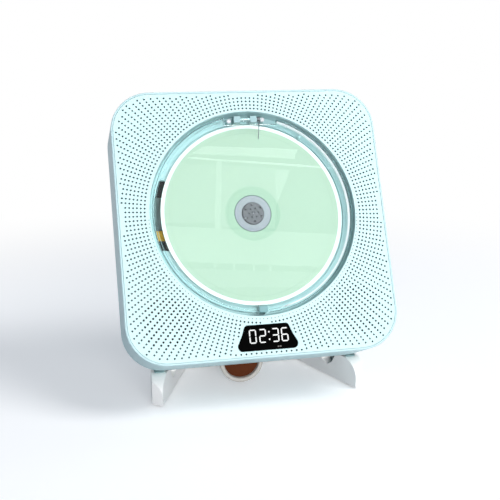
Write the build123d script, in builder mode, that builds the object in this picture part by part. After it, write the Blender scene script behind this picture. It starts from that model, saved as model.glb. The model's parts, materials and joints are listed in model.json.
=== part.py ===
from build123d import *
from math import cos, pi, radians, sin, tan
import os

os.makedirs("parts", exist_ok=True)

# A square disc player that leans back on a two-legged stand, in millimetres.
# World frame: +X to the right, the face looks along -Y and upwards, +Z up, floor at Z = 0.
# "Depth" is always measured inwards from the face, at right angles to it.

# ---------------------------------------------------------------- driving sizes
TILT = 25.7            # how far the face leans back from the vertical, degrees

CASE_W = 176.0         # width and height of the square case
CASE_R = 26.0          # radius of its four corners
CASE_D = 38.0          # depth of the case
WALL = 2.2             # wall of the case
EDGE_R = 0.7           # rounding of the case's front and back edges
LIP = 0.6              # flat bead between that rounding and the face panel
SEAM = 0.15            # gap all round a part that drops into a recess

PANEL_T = 2.2          # face panel
LEDGE_T = 2.0          # ledge behind the panel that carries it
LEDGE_W = 3.0

WELL_Y = 6.0           # height of the disc's centre above the middle of the face
WELL_R = 67.5          # open radius of the round well
TRAY_WALL = 1.8
CHANNEL_DEPTH = 8.3    # floor of the ring channel round the disc
CHANNEL_R = 61.6       # where the channel steps down to the floor under the disc
FLOOR_DEPTH = 9.5
FLOOR_T = 1.8
FLANGE_W = 1.6         # tray flange behind the panel
FLANGE_T = 2.0

DISC_R = 60.0          # a 120 mm disc
DISC_HOLE_R = 7.5
DISC_T = 1.2
DISC_DEPTH = 6.3       # depth of the disc's printed side

COVER_R = 65.5         # clear lid over the well
COVER_DEPTH = 1.0
COVER_T = 2.0
COVER_RIM = 1.6        # how far the lid's rim reaches below its plate
RIM_T = 2.0

HINGE_Y = 62.4         # lid hinge, above the disc's centre
HINGE_DEPTH = 1.5
HINGE_PIN_R = 0.8
RUN = 0.05             # radial clearance of everything that turns or slides on a pin
SNUG = 0.03            # radial clearance of rubber that sits on a post or in a ring

TAB_W = 5.6            # lid catch at the bottom of the well
TAB_H = 4.2
TAB_TRAVEL = 1.2

WINDOW_TOP = 27.8      # clock window, a trapezium below the well
WINDOW_BOTTOM = 43.4
WINDOW_H = 15.9
WINDOW_UP = 13.0       # its middle, above the bottom of the case
WINDOW_WAIST = 0.8     # how far its sides bow inwards
WINDOW_LOW_R = 3.0
WINDOW_HIGH_R = 2.2

DECK_T = 1.5           # black plate that carries the disc drive
DECK_X = (-72.0, 31.0)
DECK_Y = (-50.0, 38.0)
DECK_SLOT_X = (-66.0, -15.0)
DECK_SLOT_Y = (-6.8, 15.0)
OPEN_X = 26.0          # the tray floor is open over the deck, from here to the left
OPEN_Y = (-21.0, 25.2)
OPEN_R = 64.0

POST_R = 2.0           # posts under the tray that hold the deck through rubber rings
POST_XY = [(-42.0, 32.0), (23.0, 32.0), (-42.0, -32.0), (23.0, -32.0)]
RING_R = 3.9
RING_FLANGE = 5.2
RING_T = 1.1           # flanges of those rings, one on each side of the deck

MOTOR_R = 12.0         # spindle motor
MOTOR_T = 9.0
HUB_R = 7.3            # chuck that centres the disc
HUB_DEPTH = 5.0
PLATTER_R = 13.0
PLATTER_T = 2.2
NECK_R = 3.0
SHAFT_R = 1.0
CHUCK_BALL_R = 1.1

LENS_IN = 25.0         # lens radius at the first and last track
LENS_OUT = 56.0
LENS_DEPTH = 9.1
LENS_TRAVEL = 0.5
SLED_HALF = 9.0        # half length of the sled along its rods
SLED_TOP_DEPTH = 14.4
SLED_T = 7.4
ROD_R = 1.5
ROD_Y = 18.0
ROD_DEPTH = 19.0
ROD_X = (-71.0, -10.8)

MODULE = 0.6           # sled gear train
TOOTH_GAP = 0.16
RACK_Y = -24.0         # pitch line of the rack
PINION_TEETH = 24
WHEEL_TEETH = 40
MOTOR_TEETH = 16
GEAR_X = -20.0
WHEEL_DEPTH = 14.4
WHEEL_T = 1.5
PINION_T = 4.5
AXLE_R = 1.2
SLED_MOTOR_R = 8.0
SLED_MOTOR_T = 10.0
SLED_MOTOR_DEPTH = 16.6

MOTOR_ANGLE = -35.0    # direction from the gear to the sled motor, degrees

SPEAKER_R = 19.0       # loudspeakers, concentric with the lower corners
SPEAKER_BACK = 21.0
MAGNET_R = 11.5
CONE_R = 16.6
CONE_T = 0.5
CONE_TRAVEL = 0.6
COIL_R = 4.6

BUTTON_PITCH = 16.0    # row of five keys in the top wall
BUTTON_W = 10.0
BUTTON_H = 5.0
BUTTON_PROUD = 0.8
BUTTON_TRAVEL = 0.6
SLIDE_FIT = 0.2        # gap round keys, switches and catches in their holes

KEY_BOARD_IN = 10.0    # key board, below the top of the case
SIDE_BOARD_IN = 15.0   # side board, in from the right of the case
BOARD_T = 1.6
SWITCH_Y = 16.0        # power switch and sockets in the right-hand wall
SWITCH_TRAVEL = 4.0
KNOB_PROUD = 0.9
POWER_JACK_Y = -6.0
AUDIO_JACK_Y = -20.0
POWER_BORE_R = 2.75
AUDIO_BORE_R = 1.75
AUDIO_BORE_L = 12.0

MAIN_X = (-48.0, 58.0)
MAIN_Y = (-38.0, 48.0)
MAIN_GAP = 0.6         # between the sled motor and the main board
COVER_PLATE_T = 3.0    # rear cover
VENT_Y = (30.0, -58.0)
KEYHOLE_X = 45.0
KEYHOLE_DOWN = 22.0    # below the top of the case
KEYHOLE_R = 4.2
KEYHOLE_SLOT_R = 2.1
KEYHOLE_DROP = 8.0
BOSS_IN = 6.0          # screw bosses, in from the sides of the case
BOSS_Y = (58.0, -34.0)
BOSS_R = 4.2
SCREW_R = 1.1
SCREW_HEAD_R = 2.4
SCREW_HEAD_T = 1.4

FOOT_PAD_T = 0.8       # rubber feet stand this far below the legs
SEAT_TOP = 19.9        # top of the rubber seats under the case
SEAT_GAP = 0.2
SEAT_PAD_T = 0.8
LEG_FRONT = -13.1      # stand, measured towards the back from the lowest edge of the case
LEG_TAIL = 73.9
LEG_HEAD = 72.0        # height of the arms behind the case
LEG_IN = 23.0          # inner front corner of a leg, in from the side of the case
LEG_T = 7.5
SPLAY = 22.2           # the legs close towards the back, degrees
NOTCH = [(6.5, 18.7), (10.1, 12.0), (14.4, 8.2), (20.0, 10.5)]
ARM_TOP = [(26.3, 70.0), (31.9, 72.0)]
ARM_ROOT = (43.9, 12.0)
HEEL_IN = 4.0          # heels, seats and arm pads, in from the corner of a leg
HEEL_W = 7.0
BAR_Y = (47.9, 55.9)
BAR_Z = (3.0, 9.5)
SEAT_W = 6.5           # rubber seats on the legs
SEAT_Y = (-1.6, 5.2)
REST_IN = 10.0         # rubber pads on the arms
REST_W = 6.0
REST_Z = (60.0, 69.0)
FOOT_SPOTS = [(0.4, -2.1), (-28.6, 65.9)]
FOOT_PAD_R = 3.4
HOOP_X = -8.5
HOOP_Y = (7.3, 13.3)
HOOP_Z = 18.2
HOOP_R = 14.8
HOOP_BAND = 3.0

# ---------------------------------------------------------------- frame of the face
half_w = CASE_W / 2
lean_sin = sin(radians(TILT))
lean_cos = cos(radians(TILT))
corner_up = (half_w - EDGE_R) * lean_cos + (CASE_D - EDGE_R) * lean_sin + EDGE_R
face_z = SEAT_TOP + SEAT_GAP + corner_up
front_reach = -(half_w - EDGE_R) * lean_sin + EDGE_R * lean_cos - EDGE_R
back_reach = (half_w - EDGE_R) * lean_sin + (CASE_D - EDGE_R) * lean_cos + EDGE_R
face_y = -(front_reach + back_reach) / 2
mid_depth = CASE_D / 2                  # of the keys, the switch and the sockets
key_board_y = half_w - KEY_BOARD_IN
side_board_x = half_w - SIDE_BOARD_IN
window_y = WINDOW_UP - half_w
speaker_x = half_w - CASE_R
keyhole_y = half_w - KEYHOLE_DOWN
leg_x = half_w - LEG_IN
edge_y = face_y - half_w * lean_sin + CASE_D * lean_cos
edge_z = face_z - half_w * lean_cos - CASE_D * lean_sin
boss_xy = [(side * (half_w - BOSS_IN), y) for side in (1, -1) for y in BOSS_Y]
face = Plane(origin=(0, face_y, face_z), x_dir=(1, 0, 0), z_dir=(0, -lean_cos, lean_sin))
outward = Axis(face.origin, face.z_dir)
upward = Axis(face.origin, face.y_dir)


def level(depth, x=0.0, y=0.0):
    """Plane parallel to the face at a depth, with its origin at x, y of the face."""
    return Plane(face.from_local_coords((x, y, -depth)), x_dir=face.x_dir, z_dir=face.z_dir)


def well_level(depth, x=0.0, y=0.0):
    """The same, measured from the disc's centre."""
    return level(depth, x, WELL_Y + y)


def upright(x, y=0.0, depth=0.0):
    """Plane across the case: looks to the right, its X runs up the face and its Y outwards."""
    return Plane(face.from_local_coords((x, y, -depth)), x_dir=face.y_dir, z_dir=face.x_dir)


def slab(x_range, y_range, depth_range, origin=well_level, mode=Mode.ADD):
    """Block between two x, two y and two depths, added to or cut from the part being built."""
    with Locations(origin(depth_range[1], sum(x_range) / 2, sum(y_range) / 2)):
        Box(
            x_range[1] - x_range[0],
            y_range[1] - y_range[0],
            depth_range[1] - depth_range[0],
            align=(Align.CENTER, Align.CENTER, Align.MIN),
            mode=mode,
        )


def disc_of(radius, depth_range, x=0.0, y=0.0, origin=well_level, mode=Mode.ADD):
    """Round block between two depths, added to or cut from the part being built."""
    with Locations(origin(depth_range[1], x, y)):
        Cylinder(
            radius,
            depth_range[1] - depth_range[0],
            align=(Align.CENTER, Align.CENTER, Align.MIN),
            mode=mode,
        )


# half sections of round parts are drawn here: X is the radius, Y is minus the depth
well_section = Plane(well_level(0).origin, x_dir=face.x_dir, z_dir=-face.y_dir)
disc_axis = Axis(well_level(0).origin, face.z_dir)


def toothed_disc(teeth, first_angle):
    """Gear outline in the open sketch: a root disc and one straight-sided tooth per pitch."""
    pitch_r = MODULE * teeth / 2
    root_r = pitch_r - 1.2 * MODULE
    tip_r = pitch_r + 0.8 * MODULE
    half_tooth = pi * MODULE / 4 - TOOTH_GAP / 2
    Circle(root_r)
    with PolarLocations(0, teeth, start_angle=first_angle):
        Polygon(
            (root_r - MODULE, -1.3 * half_tooth),
            (root_r, -1.3 * half_tooth),
            (tip_r, -0.5 * half_tooth),
            (tip_r, 0.5 * half_tooth),
            (root_r, 1.3 * half_tooth),
            (root_r - MODULE, 1.3 * half_tooth),
            align=None,
        )


def pan_screws(head_planes, length):
    """Identical pan-head screws: each plane lies under the head and looks out of it."""
    with BuildPart() as screws:
        for under_head in head_planes:
            with BuildSketch(under_head):
                Circle(SCREW_HEAD_R)
            extrude(amount=SCREW_HEAD_T)
            with BuildSketch(under_head.offset(SCREW_HEAD_T)):
                Rectangle(SCREW_HEAD_R * 1.3, 0.6)
                Rectangle(0.6, SCREW_HEAD_R * 1.3)
            extrude(amount=-0.7, mode=Mode.SUBTRACT)
            with BuildSketch(under_head):
                Circle(SCREW_R)
            extrude(amount=-length)
    return screws


# ---------------------------------------------------------------- case
panel_w = CASE_W - 2 * (EDGE_R + LIP + SEAM)
panel_r = CASE_R - EDGE_R - LIP - SEAM
inner_w = CASE_W - 2 * WALL
inner_r = CASE_R - WALL
ledge_back = PANEL_T + LEDGE_T
cover_top = CASE_D - COVER_PLATE_T      # depth of the rear cover's inner side
button_x = [BUTTON_PITCH * step for step in (-2, -1, 0, 1, 2)]
top_wall = Plane(
    face.from_local_coords((0, half_w, -mid_depth)), x_dir=face.x_dir, z_dir=face.y_dir
)
right_wall = upright(half_w, 0, mid_depth)
key_posts = [(-40.0, 0), (40.0, 0)]
side_posts = [(28.0, 0), (-29.0, 0)]
post_hole = SCREW_R

with BuildPart() as case:
    with BuildSketch(face):
        RectangleRounded(CASE_W, CASE_W, CASE_R)
    extrude(amount=-CASE_D)
    rims = case.edges().group_by(outward)
    fillet(rims[-1] + rims[0], EDGE_R)
    with BuildSketch(face):
        RectangleRounded(panel_w + 2 * SEAM, panel_w + 2 * SEAM, panel_r + SEAM)
    extrude(amount=-PANEL_T, mode=Mode.SUBTRACT)
    with BuildSketch(level(PANEL_T)):
        RectangleRounded(panel_w - 2 * LEDGE_W, panel_w - 2 * LEDGE_W, panel_r - LEDGE_W)
    extrude(amount=-LEDGE_T, mode=Mode.SUBTRACT)
    with BuildSketch(level(ledge_back)):
        RectangleRounded(inner_w, inner_w, inner_r)
    extrude(amount=-CASE_D, mode=Mode.SUBTRACT)
    # bosses for the rear screws run from the ledge to the rear cover
    with BuildSketch(level(PANEL_T)):
        with Locations(*boss_xy):
            Circle(BOSS_R)
        RectangleRounded(CASE_W - WALL, CASE_W - WALL, CASE_R - WALL / 2, mode=Mode.INTERSECT)
    extrude(amount=-(cover_top - PANEL_T))
    with BuildSketch(level(cover_top)):
        with Locations(*boss_xy):
            Circle(post_hole)
    extrude(amount=12, mode=Mode.SUBTRACT)
    # posts that hold the key board and the side board
    with BuildSketch(top_wall.offset(-WALL / 2)):
        with Locations(*key_posts):
            Circle(POST_R)
    extrude(amount=-(half_w - WALL / 2 - key_board_y - BOARD_T))
    with BuildSketch(right_wall.offset(-WALL / 2)):
        with Locations(*side_posts):
            Circle(POST_R)
    extrude(amount=-(half_w - WALL / 2 - side_board_x - BOARD_T))
    with BuildSketch(top_wall.offset(-(half_w - key_board_y - BOARD_T))):
        with Locations(*key_posts):
            Circle(post_hole)
    extrude(amount=5, mode=Mode.SUBTRACT)
    with BuildSketch(right_wall.offset(-(half_w - side_board_x - BOARD_T))):
        with Locations(*side_posts):
            Circle(post_hole)
    extrude(amount=8, mode=Mode.SUBTRACT)
    # openings for the keys, the power switch and the two sockets
    with BuildSketch(top_wall):
        with Locations(*[(x, 0) for x in button_x]):
            SlotOverall(BUTTON_W + 2 * SLIDE_FIT, BUTTON_H + 2 * SLIDE_FIT)
    extrude(amount=-2 * WALL, mode=Mode.SUBTRACT)
    with BuildSketch(right_wall):
        with Locations((SWITCH_Y, 0)):
            SlotOverall(SWITCH_TRAVEL + 5 + 2 * SLIDE_FIT, 3 + 2 * SLIDE_FIT)
        with Locations((POWER_JACK_Y, 0)):
            Circle(POWER_BORE_R + 1.3)
        with Locations((AUDIO_JACK_Y, 0)):
            Circle(AUDIO_BORE_R + 1.3)
    extrude(amount=-2 * WALL, mode=Mode.SUBTRACT)
case.part.label = "case"
export_step(case.part, "parts/case.step")

# ---------------------------------------------------------------- face panel and clock window
window_top = window_y + WINDOW_H / 2
window_bottom = window_y - WINDOW_H / 2

with BuildSketch() as window_shape:
    with BuildLine():
        Line((-WINDOW_BOTTOM / 2, window_bottom), (WINDOW_BOTTOM / 2, window_bottom))
        ThreePointArc(
            (WINDOW_BOTTOM / 2, window_bottom),
            ((WINDOW_TOP + WINDOW_BOTTOM) / 4 - WINDOW_WAIST, window_y),
            (WINDOW_TOP / 2, window_top),
        )
        Line((WINDOW_TOP / 2, window_top), (-WINDOW_TOP / 2, window_top))
        ThreePointArc(
            (-WINDOW_TOP / 2, window_top),
            (-(WINDOW_TOP + WINDOW_BOTTOM) / 4 + WINDOW_WAIST, window_y),
            (-WINDOW_BOTTOM / 2, window_bottom),
        )
    make_face()
    fillet(window_shape.vertices().group_by(Axis.Y)[0], WINDOW_LOW_R)
    fillet(window_shape.vertices().group_by(Axis.Y)[-1], WINDOW_HIGH_R)

with BuildPart() as front_panel:
    with BuildSketch(face):
        RectangleRounded(panel_w, panel_w, panel_r)
        with Locations((0, WELL_Y)):
            Circle(WELL_R, mode=Mode.SUBTRACT)
    extrude(amount=-PANEL_T)
    with BuildSketch(face):
        add(window_shape.sketch_local)
        offset(amount=SEAM)
    extrude(amount=-PANEL_T, mode=Mode.SUBTRACT)
    # rings that centre the loudspeakers
    with BuildSketch(level(PANEL_T)):
        for side in (-1, 1):
            with Locations((side * speaker_x, -speaker_x)):
                Circle(SPEAKER_R + SEAM + 1.2)
                Circle(SPEAKER_R + SEAM, mode=Mode.SUBTRACT)
        RectangleRounded(
            panel_w - 2 * LEDGE_W - 2 * SEAM,
            panel_w - 2 * LEDGE_W - 2 * SEAM,
            panel_r - LEDGE_W - SEAM,
            mode=Mode.INTERSECT,
        )
    extrude(amount=-LEDGE_T)
front_panel.part.label = "front_panel"
export_step(front_panel.part, "parts/front_panel.step")

with BuildPart() as display_window:
    with BuildSketch(face):
        add(window_shape.sketch_local)
    extrude(amount=-PANEL_T)
display_window.part.label = "display_window"
export_step(display_window.part, "parts/display_window.step")

# The clock module: a light box behind the window on its own small board.
light_box = (26.0, 11.0, 4.5)
clock_board_depth = PANEL_T + light_box[2]
with BuildPart() as clock_module:
    slab(
        (-light_box[0] / 2, light_box[0] / 2),
        (window_y - light_box[1] / 2, window_y + light_box[1] / 2),
        (PANEL_T, clock_board_depth),
        level,
    )
    slab(
        (-22, 22),
        (window_y - 7, window_y + 7),
        (clock_board_depth, clock_board_depth + BOARD_T),
        level,
    )
    slab(
        (-8, 8),
        (window_y - 3, window_y + 2),
        (clock_board_depth + BOARD_T, clock_board_depth + 5),
        level,
    )
clock_module.part.label = "clock_module"
export_step(clock_module.part, "parts/clock_module.step")

# ---------------------------------------------------------------- disc tray
tray_r = WELL_R + TRAY_WALL
floor_back = FLOOR_DEPTH + FLOOR_T
wall_draft = 0.9       # the well narrows by this much down to the channel floor
deck_front = floor_back + RING_T
deck_back = deck_front + DECK_T
ring_bottom = deck_back + RING_T
lug_x = 5.5
lug_w = 4.2
lug_top = 0.5
stud_xy = [(-10.6, 61.9), (11.9, 62.5)]
stud_r = 1.7
stud_depth = 3.9
plunger_xy = (36.4, 50.0)
plunger_r = 1.3
tab_y = (-(COVER_R - 0.6), -(COVER_R - 0.6) + TAB_H)
stem_y = (tab_y[0] + 0.7, tab_y[1] - 0.9)
stem_w = 3.6

with BuildPart() as disc_tray:
    with BuildSketch(well_section):
        with BuildLine():
            Polyline(
                (0, -floor_back),
                (tray_r, -floor_back),
                (tray_r, -PANEL_T - FLANGE_T),
                (tray_r + FLANGE_W, -PANEL_T - FLANGE_T),
                (tray_r + FLANGE_W, -PANEL_T),
                (WELL_R, -PANEL_T),
                (WELL_R - wall_draft, -CHANNEL_DEPTH),
                (CHANNEL_R, -CHANNEL_DEPTH),
                (CHANNEL_R, -FLOOR_DEPTH),
                (0, -FLOOR_DEPTH),
                close=True,
            )
        make_face()
    revolve(axis=disc_axis)
    # opening over the deck, closed by the arc of the channel at its left end
    with BuildSketch(well_level(floor_back)):
        Circle(OPEN_R)
        with Locations(((OPEN_X - OPEN_R) / 2, sum(OPEN_Y) / 2)):
            Rectangle(OPEN_X + OPEN_R, OPEN_Y[1] - OPEN_Y[0], mode=Mode.INTERSECT)
    extrude(amount=FLOOR_T + FLOOR_DEPTH, mode=Mode.SUBTRACT)
    # hinge lugs, bored for the pin
    for side in (-1, 1):
        slab(
            (side * lug_x - lug_w / 2, side * lug_x + lug_w / 2),
            (HINGE_Y - lug_w / 2, HINGE_Y + lug_w / 2),
            (lug_top, CHANNEL_DEPTH + FLOOR_T / 2),
        )
    with BuildSketch(upright(-lug_x - lug_w, WELL_Y + HINGE_Y, HINGE_DEPTH)):
        Circle(HINGE_PIN_R)
    extrude(amount=2 * (lug_x + lug_w), mode=Mode.SUBTRACT)
    # studs for the two hinge screws, and the guide of the lid switch
    for x, y in stud_xy:
        disc_of(stud_r, (stud_depth, CHANNEL_DEPTH + FLOOR_T / 2), x, y)
        disc_of(SHAFT_R, (stud_depth, floor_back), x, y, mode=Mode.SUBTRACT)
    disc_of(plunger_r + RUN, (0, floor_back), *plunger_xy, mode=Mode.SUBTRACT)
    # deck posts with pilot holes
    for x, y in POST_XY:
        disc_of(POST_R, (floor_back - FLOOR_T / 2, ring_bottom), x, y)
        disc_of(SCREW_R, (floor_back, ring_bottom), x, y, mode=Mode.SUBTRACT)
    # slot for the stem of the lid catch
    slab(
        (-stem_w / 2 - SLIDE_FIT, stem_w / 2 + SLIDE_FIT),
        (stem_y[0] - TAB_TRAVEL - SLIDE_FIT, stem_y[1] + SLIDE_FIT),
        (CHANNEL_DEPTH - FLOOR_T, floor_back),
        mode=Mode.SUBTRACT,
    )
disc_tray.part.label = "disc_tray"
export_step(disc_tray.part, "parts/disc_tray.step")

# ---------------------------------------------------------------- clear lid and its hinge
rim_back = COVER_DEPTH + COVER_T + COVER_RIM
cover_back = COVER_DEPTH + COVER_T
hinge_gap_x = (-14.5, 21.2)
hinge_gap_y = 58.8
knuckle_half = lug_x - lug_w / 2 - 0.3
knuckle_r = HINGE_PIN_R + RUN + 0.6

with BuildPart() as dust_cover:
    disc_of(COVER_R, (COVER_DEPTH, rim_back))
    disc_of(COVER_R - RIM_T, (cover_back, rim_back), mode=Mode.SUBTRACT)
    slab(hinge_gap_x, (hinge_gap_y, COVER_R), (COVER_DEPTH, rim_back), mode=Mode.SUBTRACT)
    # knuckle that turns on the pin between the lugs
    slab(
        (-knuckle_half, knuckle_half),
        (hinge_gap_y - 1, HINGE_Y),
        (COVER_DEPTH, HINGE_DEPTH + knuckle_r),
    )
    with BuildSketch(upright(-knuckle_half, WELL_Y + HINGE_Y, HINGE_DEPTH)):
        Circle(knuckle_r)
    extrude(amount=2 * knuckle_half)
    with BuildSketch(upright(-knuckle_half, WELL_Y + HINGE_Y, HINGE_DEPTH)):
        Circle(HINGE_PIN_R + RUN)
    extrude(amount=2 * knuckle_half, mode=Mode.SUBTRACT)
    # notch that lets the catch stand in the edge of the lid
    slab(
        (-TAB_W / 2 - 0.6, TAB_W / 2 + 0.6),
        (-COVER_R, tab_y[1] + 0.4),
        (COVER_DEPTH, rim_back),
        mode=Mode.SUBTRACT,
    )
dust_cover.part.label = "dust_cover"
export_step(dust_cover.part, "parts/dust_cover.step")

pin_x = (-(lug_x + lug_w / 2) - 0.2, lug_x + lug_w / 2 + 3.0)
with BuildPart() as hinge_pin:
    with BuildSketch(upright(pin_x[0], WELL_Y + HINGE_Y, HINGE_DEPTH)):
        Circle(HINGE_PIN_R)
    extrude(amount=pin_x[1] - pin_x[0])
hinge_pin.part.label = "hinge_pin"
export_step(hinge_pin.part, "parts/hinge_pin.step")

# Lid spring: a coil round the pin, a long leg under the lid and a short one in the channel.
wire_r = 0.3
coil_x = (lug_x + lug_w / 2 + 0.3, lug_x + lug_w / 2 + 2.4)
coil_r = HINGE_PIN_R + 0.1
leg_end = (8.1, 49.4)
leg_depth = cover_back + 0.15 + wire_r
with BuildPart() as cover_spring:
    with BuildSketch(upright(coil_x[0], WELL_Y + HINGE_Y, HINGE_DEPTH)):
        Circle(coil_r + 2 * wire_r)
        Circle(coil_r, mode=Mode.SUBTRACT)
    extrude(amount=coil_x[1] - coil_x[0])
    with BuildLine() as long_leg:
        Polyline(
            well_level(HINGE_DEPTH + coil_r + wire_r, coil_x[1] - 0.7, HINGE_Y).origin,
            well_level(leg_depth, coil_x[1] - 0.9, hinge_gap_y - 0.4).origin,
            well_level(leg_depth, *leg_end).origin,
        )
    with BuildSketch(Plane(long_leg.line @ 0, z_dir=long_leg.line % 0)):
        Circle(wire_r)
    sweep(path=long_leg.line, transition=Transition.ROUND)
    short_leg_y = HINGE_Y + coil_r + wire_r
    disc_of(wire_r, (HINGE_DEPTH, CHANNEL_DEPTH), coil_x[0] + wire_r, short_leg_y)
cover_spring.part.label = "cover_spring"
export_step(cover_spring.part, "parts/cover_spring.step")

with BuildPart() as hinge_screws:
    for x, y in stud_xy:
        disc_of(stud_r - 0.3, (stud_depth - 1.2, stud_depth), x, y)
        disc_of(SHAFT_R, (stud_depth, stud_depth + 4), x, y)
        slab(
            (x - 0.9, x + 0.9),
            (y - 0.25, y + 0.25),
            (stud_depth - 1.2, stud_depth - 0.7),
            mode=Mode.SUBTRACT,
        )
hinge_screws.part.label = "hinge_screws"
export_step(hinge_screws.part, "parts/hinge_screws.step")

# ---------------------------------------------------------------- lid switch and lid catch
plunger_top = cover_back + 0.3
plunger_flange = floor_back + 0.3 + TAB_TRAVEL
switch_floor = plunger_flange + 1.3
with BuildPart() as lid_plunger:
    disc_of(plunger_r, (plunger_top, plunger_flange + 1), *plunger_xy)
    disc_of(plunger_r + 0.9, (plunger_flange, plunger_flange + 1), *plunger_xy)
    fillet(lid_plunger.edges().group_by(outward)[-1], 0.5)
lid_plunger.part.label = "lid_plunger"
export_step(lid_plunger.part, "parts/lid_plunger.step")

with BuildPart() as lid_switch:
    slab(
        (plunger_xy[0] - 6, plunger_xy[0] + 6),
        (plunger_xy[1] - 3, plunger_xy[1] + 3),
        (floor_back, switch_floor + 4),
    )
    slab(
        (plunger_xy[0] - 3.4, plunger_xy[0] + 3.4),
        (plunger_xy[1] - 3, plunger_xy[1] + 3),
        (floor_back, switch_floor),
        mode=Mode.SUBTRACT,
    )
lid_switch.part.label = "lid_switch"
export_step(lid_switch.part, "parts/lid_switch.step")

with BuildPart() as lid_catch:
    slab((-TAB_W / 2, TAB_W / 2), tab_y, (cover_back - 0.4, CHANNEL_DEPTH - 0.3))
    fillet(lid_catch.edges().filter_by(outward), 0.8)
    slab((-stem_w / 2, stem_w / 2), stem_y, (CHANNEL_DEPTH - 0.5, floor_back + 1.3))
    slab((-4, 4), (tab_y[0] - 1, tab_y[1] + 1), (floor_back + 0.3, floor_back + 1.3))
lid_catch.part.label = "lid_catch"
export_step(lid_catch.part, "parts/lid_catch.step")

# ---------------------------------------------------------------- disc, spindle and motor
disc_back = DISC_DEPTH + DISC_T
with BuildPart() as disc:
    disc_of(DISC_R, (DISC_DEPTH, disc_back))
    disc_of(DISC_HOLE_R, (DISC_DEPTH, disc_back), mode=Mode.SUBTRACT)
disc.part.label = "disc"
export_step(disc.part, "parts/disc.step")

platter_back = disc_back + PLATTER_T
ball_ring_r = HUB_R + 0.15 - CHUCK_BALL_R
ball_depth = DISC_DEPTH - 0.4
ball_spots = [
    well_level(ball_depth, ball_ring_r * cos(radians(turn)), ball_ring_r * sin(radians(turn)))
    for turn in (90, 210, 330)
]
with BuildPart() as spindle_hub:
    disc_of(HUB_R, (HUB_DEPTH, disc_back))
    fillet(spindle_hub.edges().group_by(outward)[-1], 0.6)
    disc_of(PLATTER_R, (disc_back, platter_back))
    disc_of(NECK_R, (platter_back, deck_back - 0.5))
    disc_of(SHAFT_R, (deck_back - 0.5, deck_back + MOTOR_T - 1.5))
    disc_of(SHAFT_R, (0, HUB_DEPTH + 0.6), mode=Mode.SUBTRACT)
    with Locations(*ball_spots):
        Sphere(CHUCK_BALL_R, mode=Mode.SUBTRACT)
spindle_hub.part.label = "spindle_hub"
export_step(spindle_hub.part, "parts/spindle_hub.step")

with BuildPart() as chuck_balls:
    with Locations(*ball_spots):
        Sphere(CHUCK_BALL_R)
chuck_balls.part.label = "chuck_balls"
export_step(chuck_balls.part, "parts/chuck_balls.step")

with BuildPart() as spindle_motor:
    disc_of(MOTOR_R, (deck_back, deck_back + MOTOR_T))
    fillet(spindle_motor.edges().group_by(outward)[0], 0.8)
    disc_of(SHAFT_R + RUN, (0, deck_back + MOTOR_T - 1), mode=Mode.SUBTRACT)
    slab((MOTOR_R - 3, MOTOR_R + 3), (-4, 4), (deck_back + MOTOR_T - 3, deck_back + MOTOR_T - 1.4))
spindle_motor.part.label = "spindle_motor"
export_step(spindle_motor.part, "parts/spindle_motor.step")

# ---------------------------------------------------------------- deck with its rubber rings
gear_y = RACK_Y - MODULE * PINION_TEETH / 2
gear_xy = (GEAR_X, gear_y)
gear_reach = MODULE * (WHEEL_TEETH + MOTOR_TEETH) / 2
motor_way = (cos(radians(MOTOR_ANGLE)), sin(radians(MOTOR_ANGLE)))
motor_xy = (GEAR_X + gear_reach * motor_way[0], gear_y + gear_reach * motor_way[1])
pillar_r = 1.0
pillar_ring = SLED_MOTOR_R - pillar_r
ear_half = 2.3
ear_w = 2.6
ear_back = ROD_DEPTH + ear_half

with BuildPart() as deck_plate:
    slab(DECK_X, DECK_Y, (deck_front, deck_back))
    fillet(deck_plate.edges().filter_by(outward), 4)
    slab(DECK_SLOT_X, DECK_SLOT_Y, (deck_front, deck_back), mode=Mode.SUBTRACT)
    for x, y in POST_XY:
        disc_of(RING_R, (deck_front, deck_back), x, y, mode=Mode.SUBTRACT)
    disc_of(NECK_R + 0.5, (deck_front, deck_back), mode=Mode.SUBTRACT)
    # ears that hold the two rods
    for y in (-ROD_Y, ROD_Y):
        for x in (ROD_X[0] + ear_w / 2, ROD_X[1] - ear_w / 2):
            slab(
                (x - ear_w / 2, x + ear_w / 2),
                (y - ear_half, y + ear_half),
                (deck_back, ear_back),
            )
        with BuildSketch(upright(ROD_X[0], WELL_Y + y, ROD_DEPTH)):
            Circle(ROD_R)
        extrude(amount=ROD_X[1] - ROD_X[0], mode=Mode.SUBTRACT)
    # axle of the gear and the two pillars of the sled motor
    disc_of(AXLE_R, (deck_back, WHEEL_DEPTH + WHEEL_T + PINION_T + 0.6), *gear_xy)
    for side in (-1, 1):
        disc_of(
            pillar_r,
            (deck_back, SLED_MOTOR_DEPTH),
            motor_xy[0] - side * pillar_ring * motor_way[1],
            motor_xy[1] + side * pillar_ring * motor_way[0],
        )
deck_plate.part.label = "deck_plate"
export_step(deck_plate.part, "parts/deck_plate.step")

with BuildPart() as isolators:
    for x, y in POST_XY:
        disc_of(RING_FLANGE, (floor_back, deck_front), x, y)
        disc_of(RING_R, (deck_front, deck_back), x, y)
        disc_of(RING_FLANGE, (deck_back, ring_bottom), x, y)
        disc_of(POST_R + SNUG, (floor_back, ring_bottom), x, y, mode=Mode.SUBTRACT)
isolators.part.label = "isolators"
export_step(isolators.part, "parts/isolators.step")


def facing_in(plane):
    """The same plane turned to look into the case."""
    return Plane(plane.origin, x_dir=plane.x_dir, z_dir=-plane.z_dir)


deck_screws = pan_screws([facing_in(well_level(ring_bottom, x, y)) for x, y in POST_XY], 3.4)
deck_screws.part.label = "deck_screws"
export_step(deck_screws.part, "parts/deck_screws.step")

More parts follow.
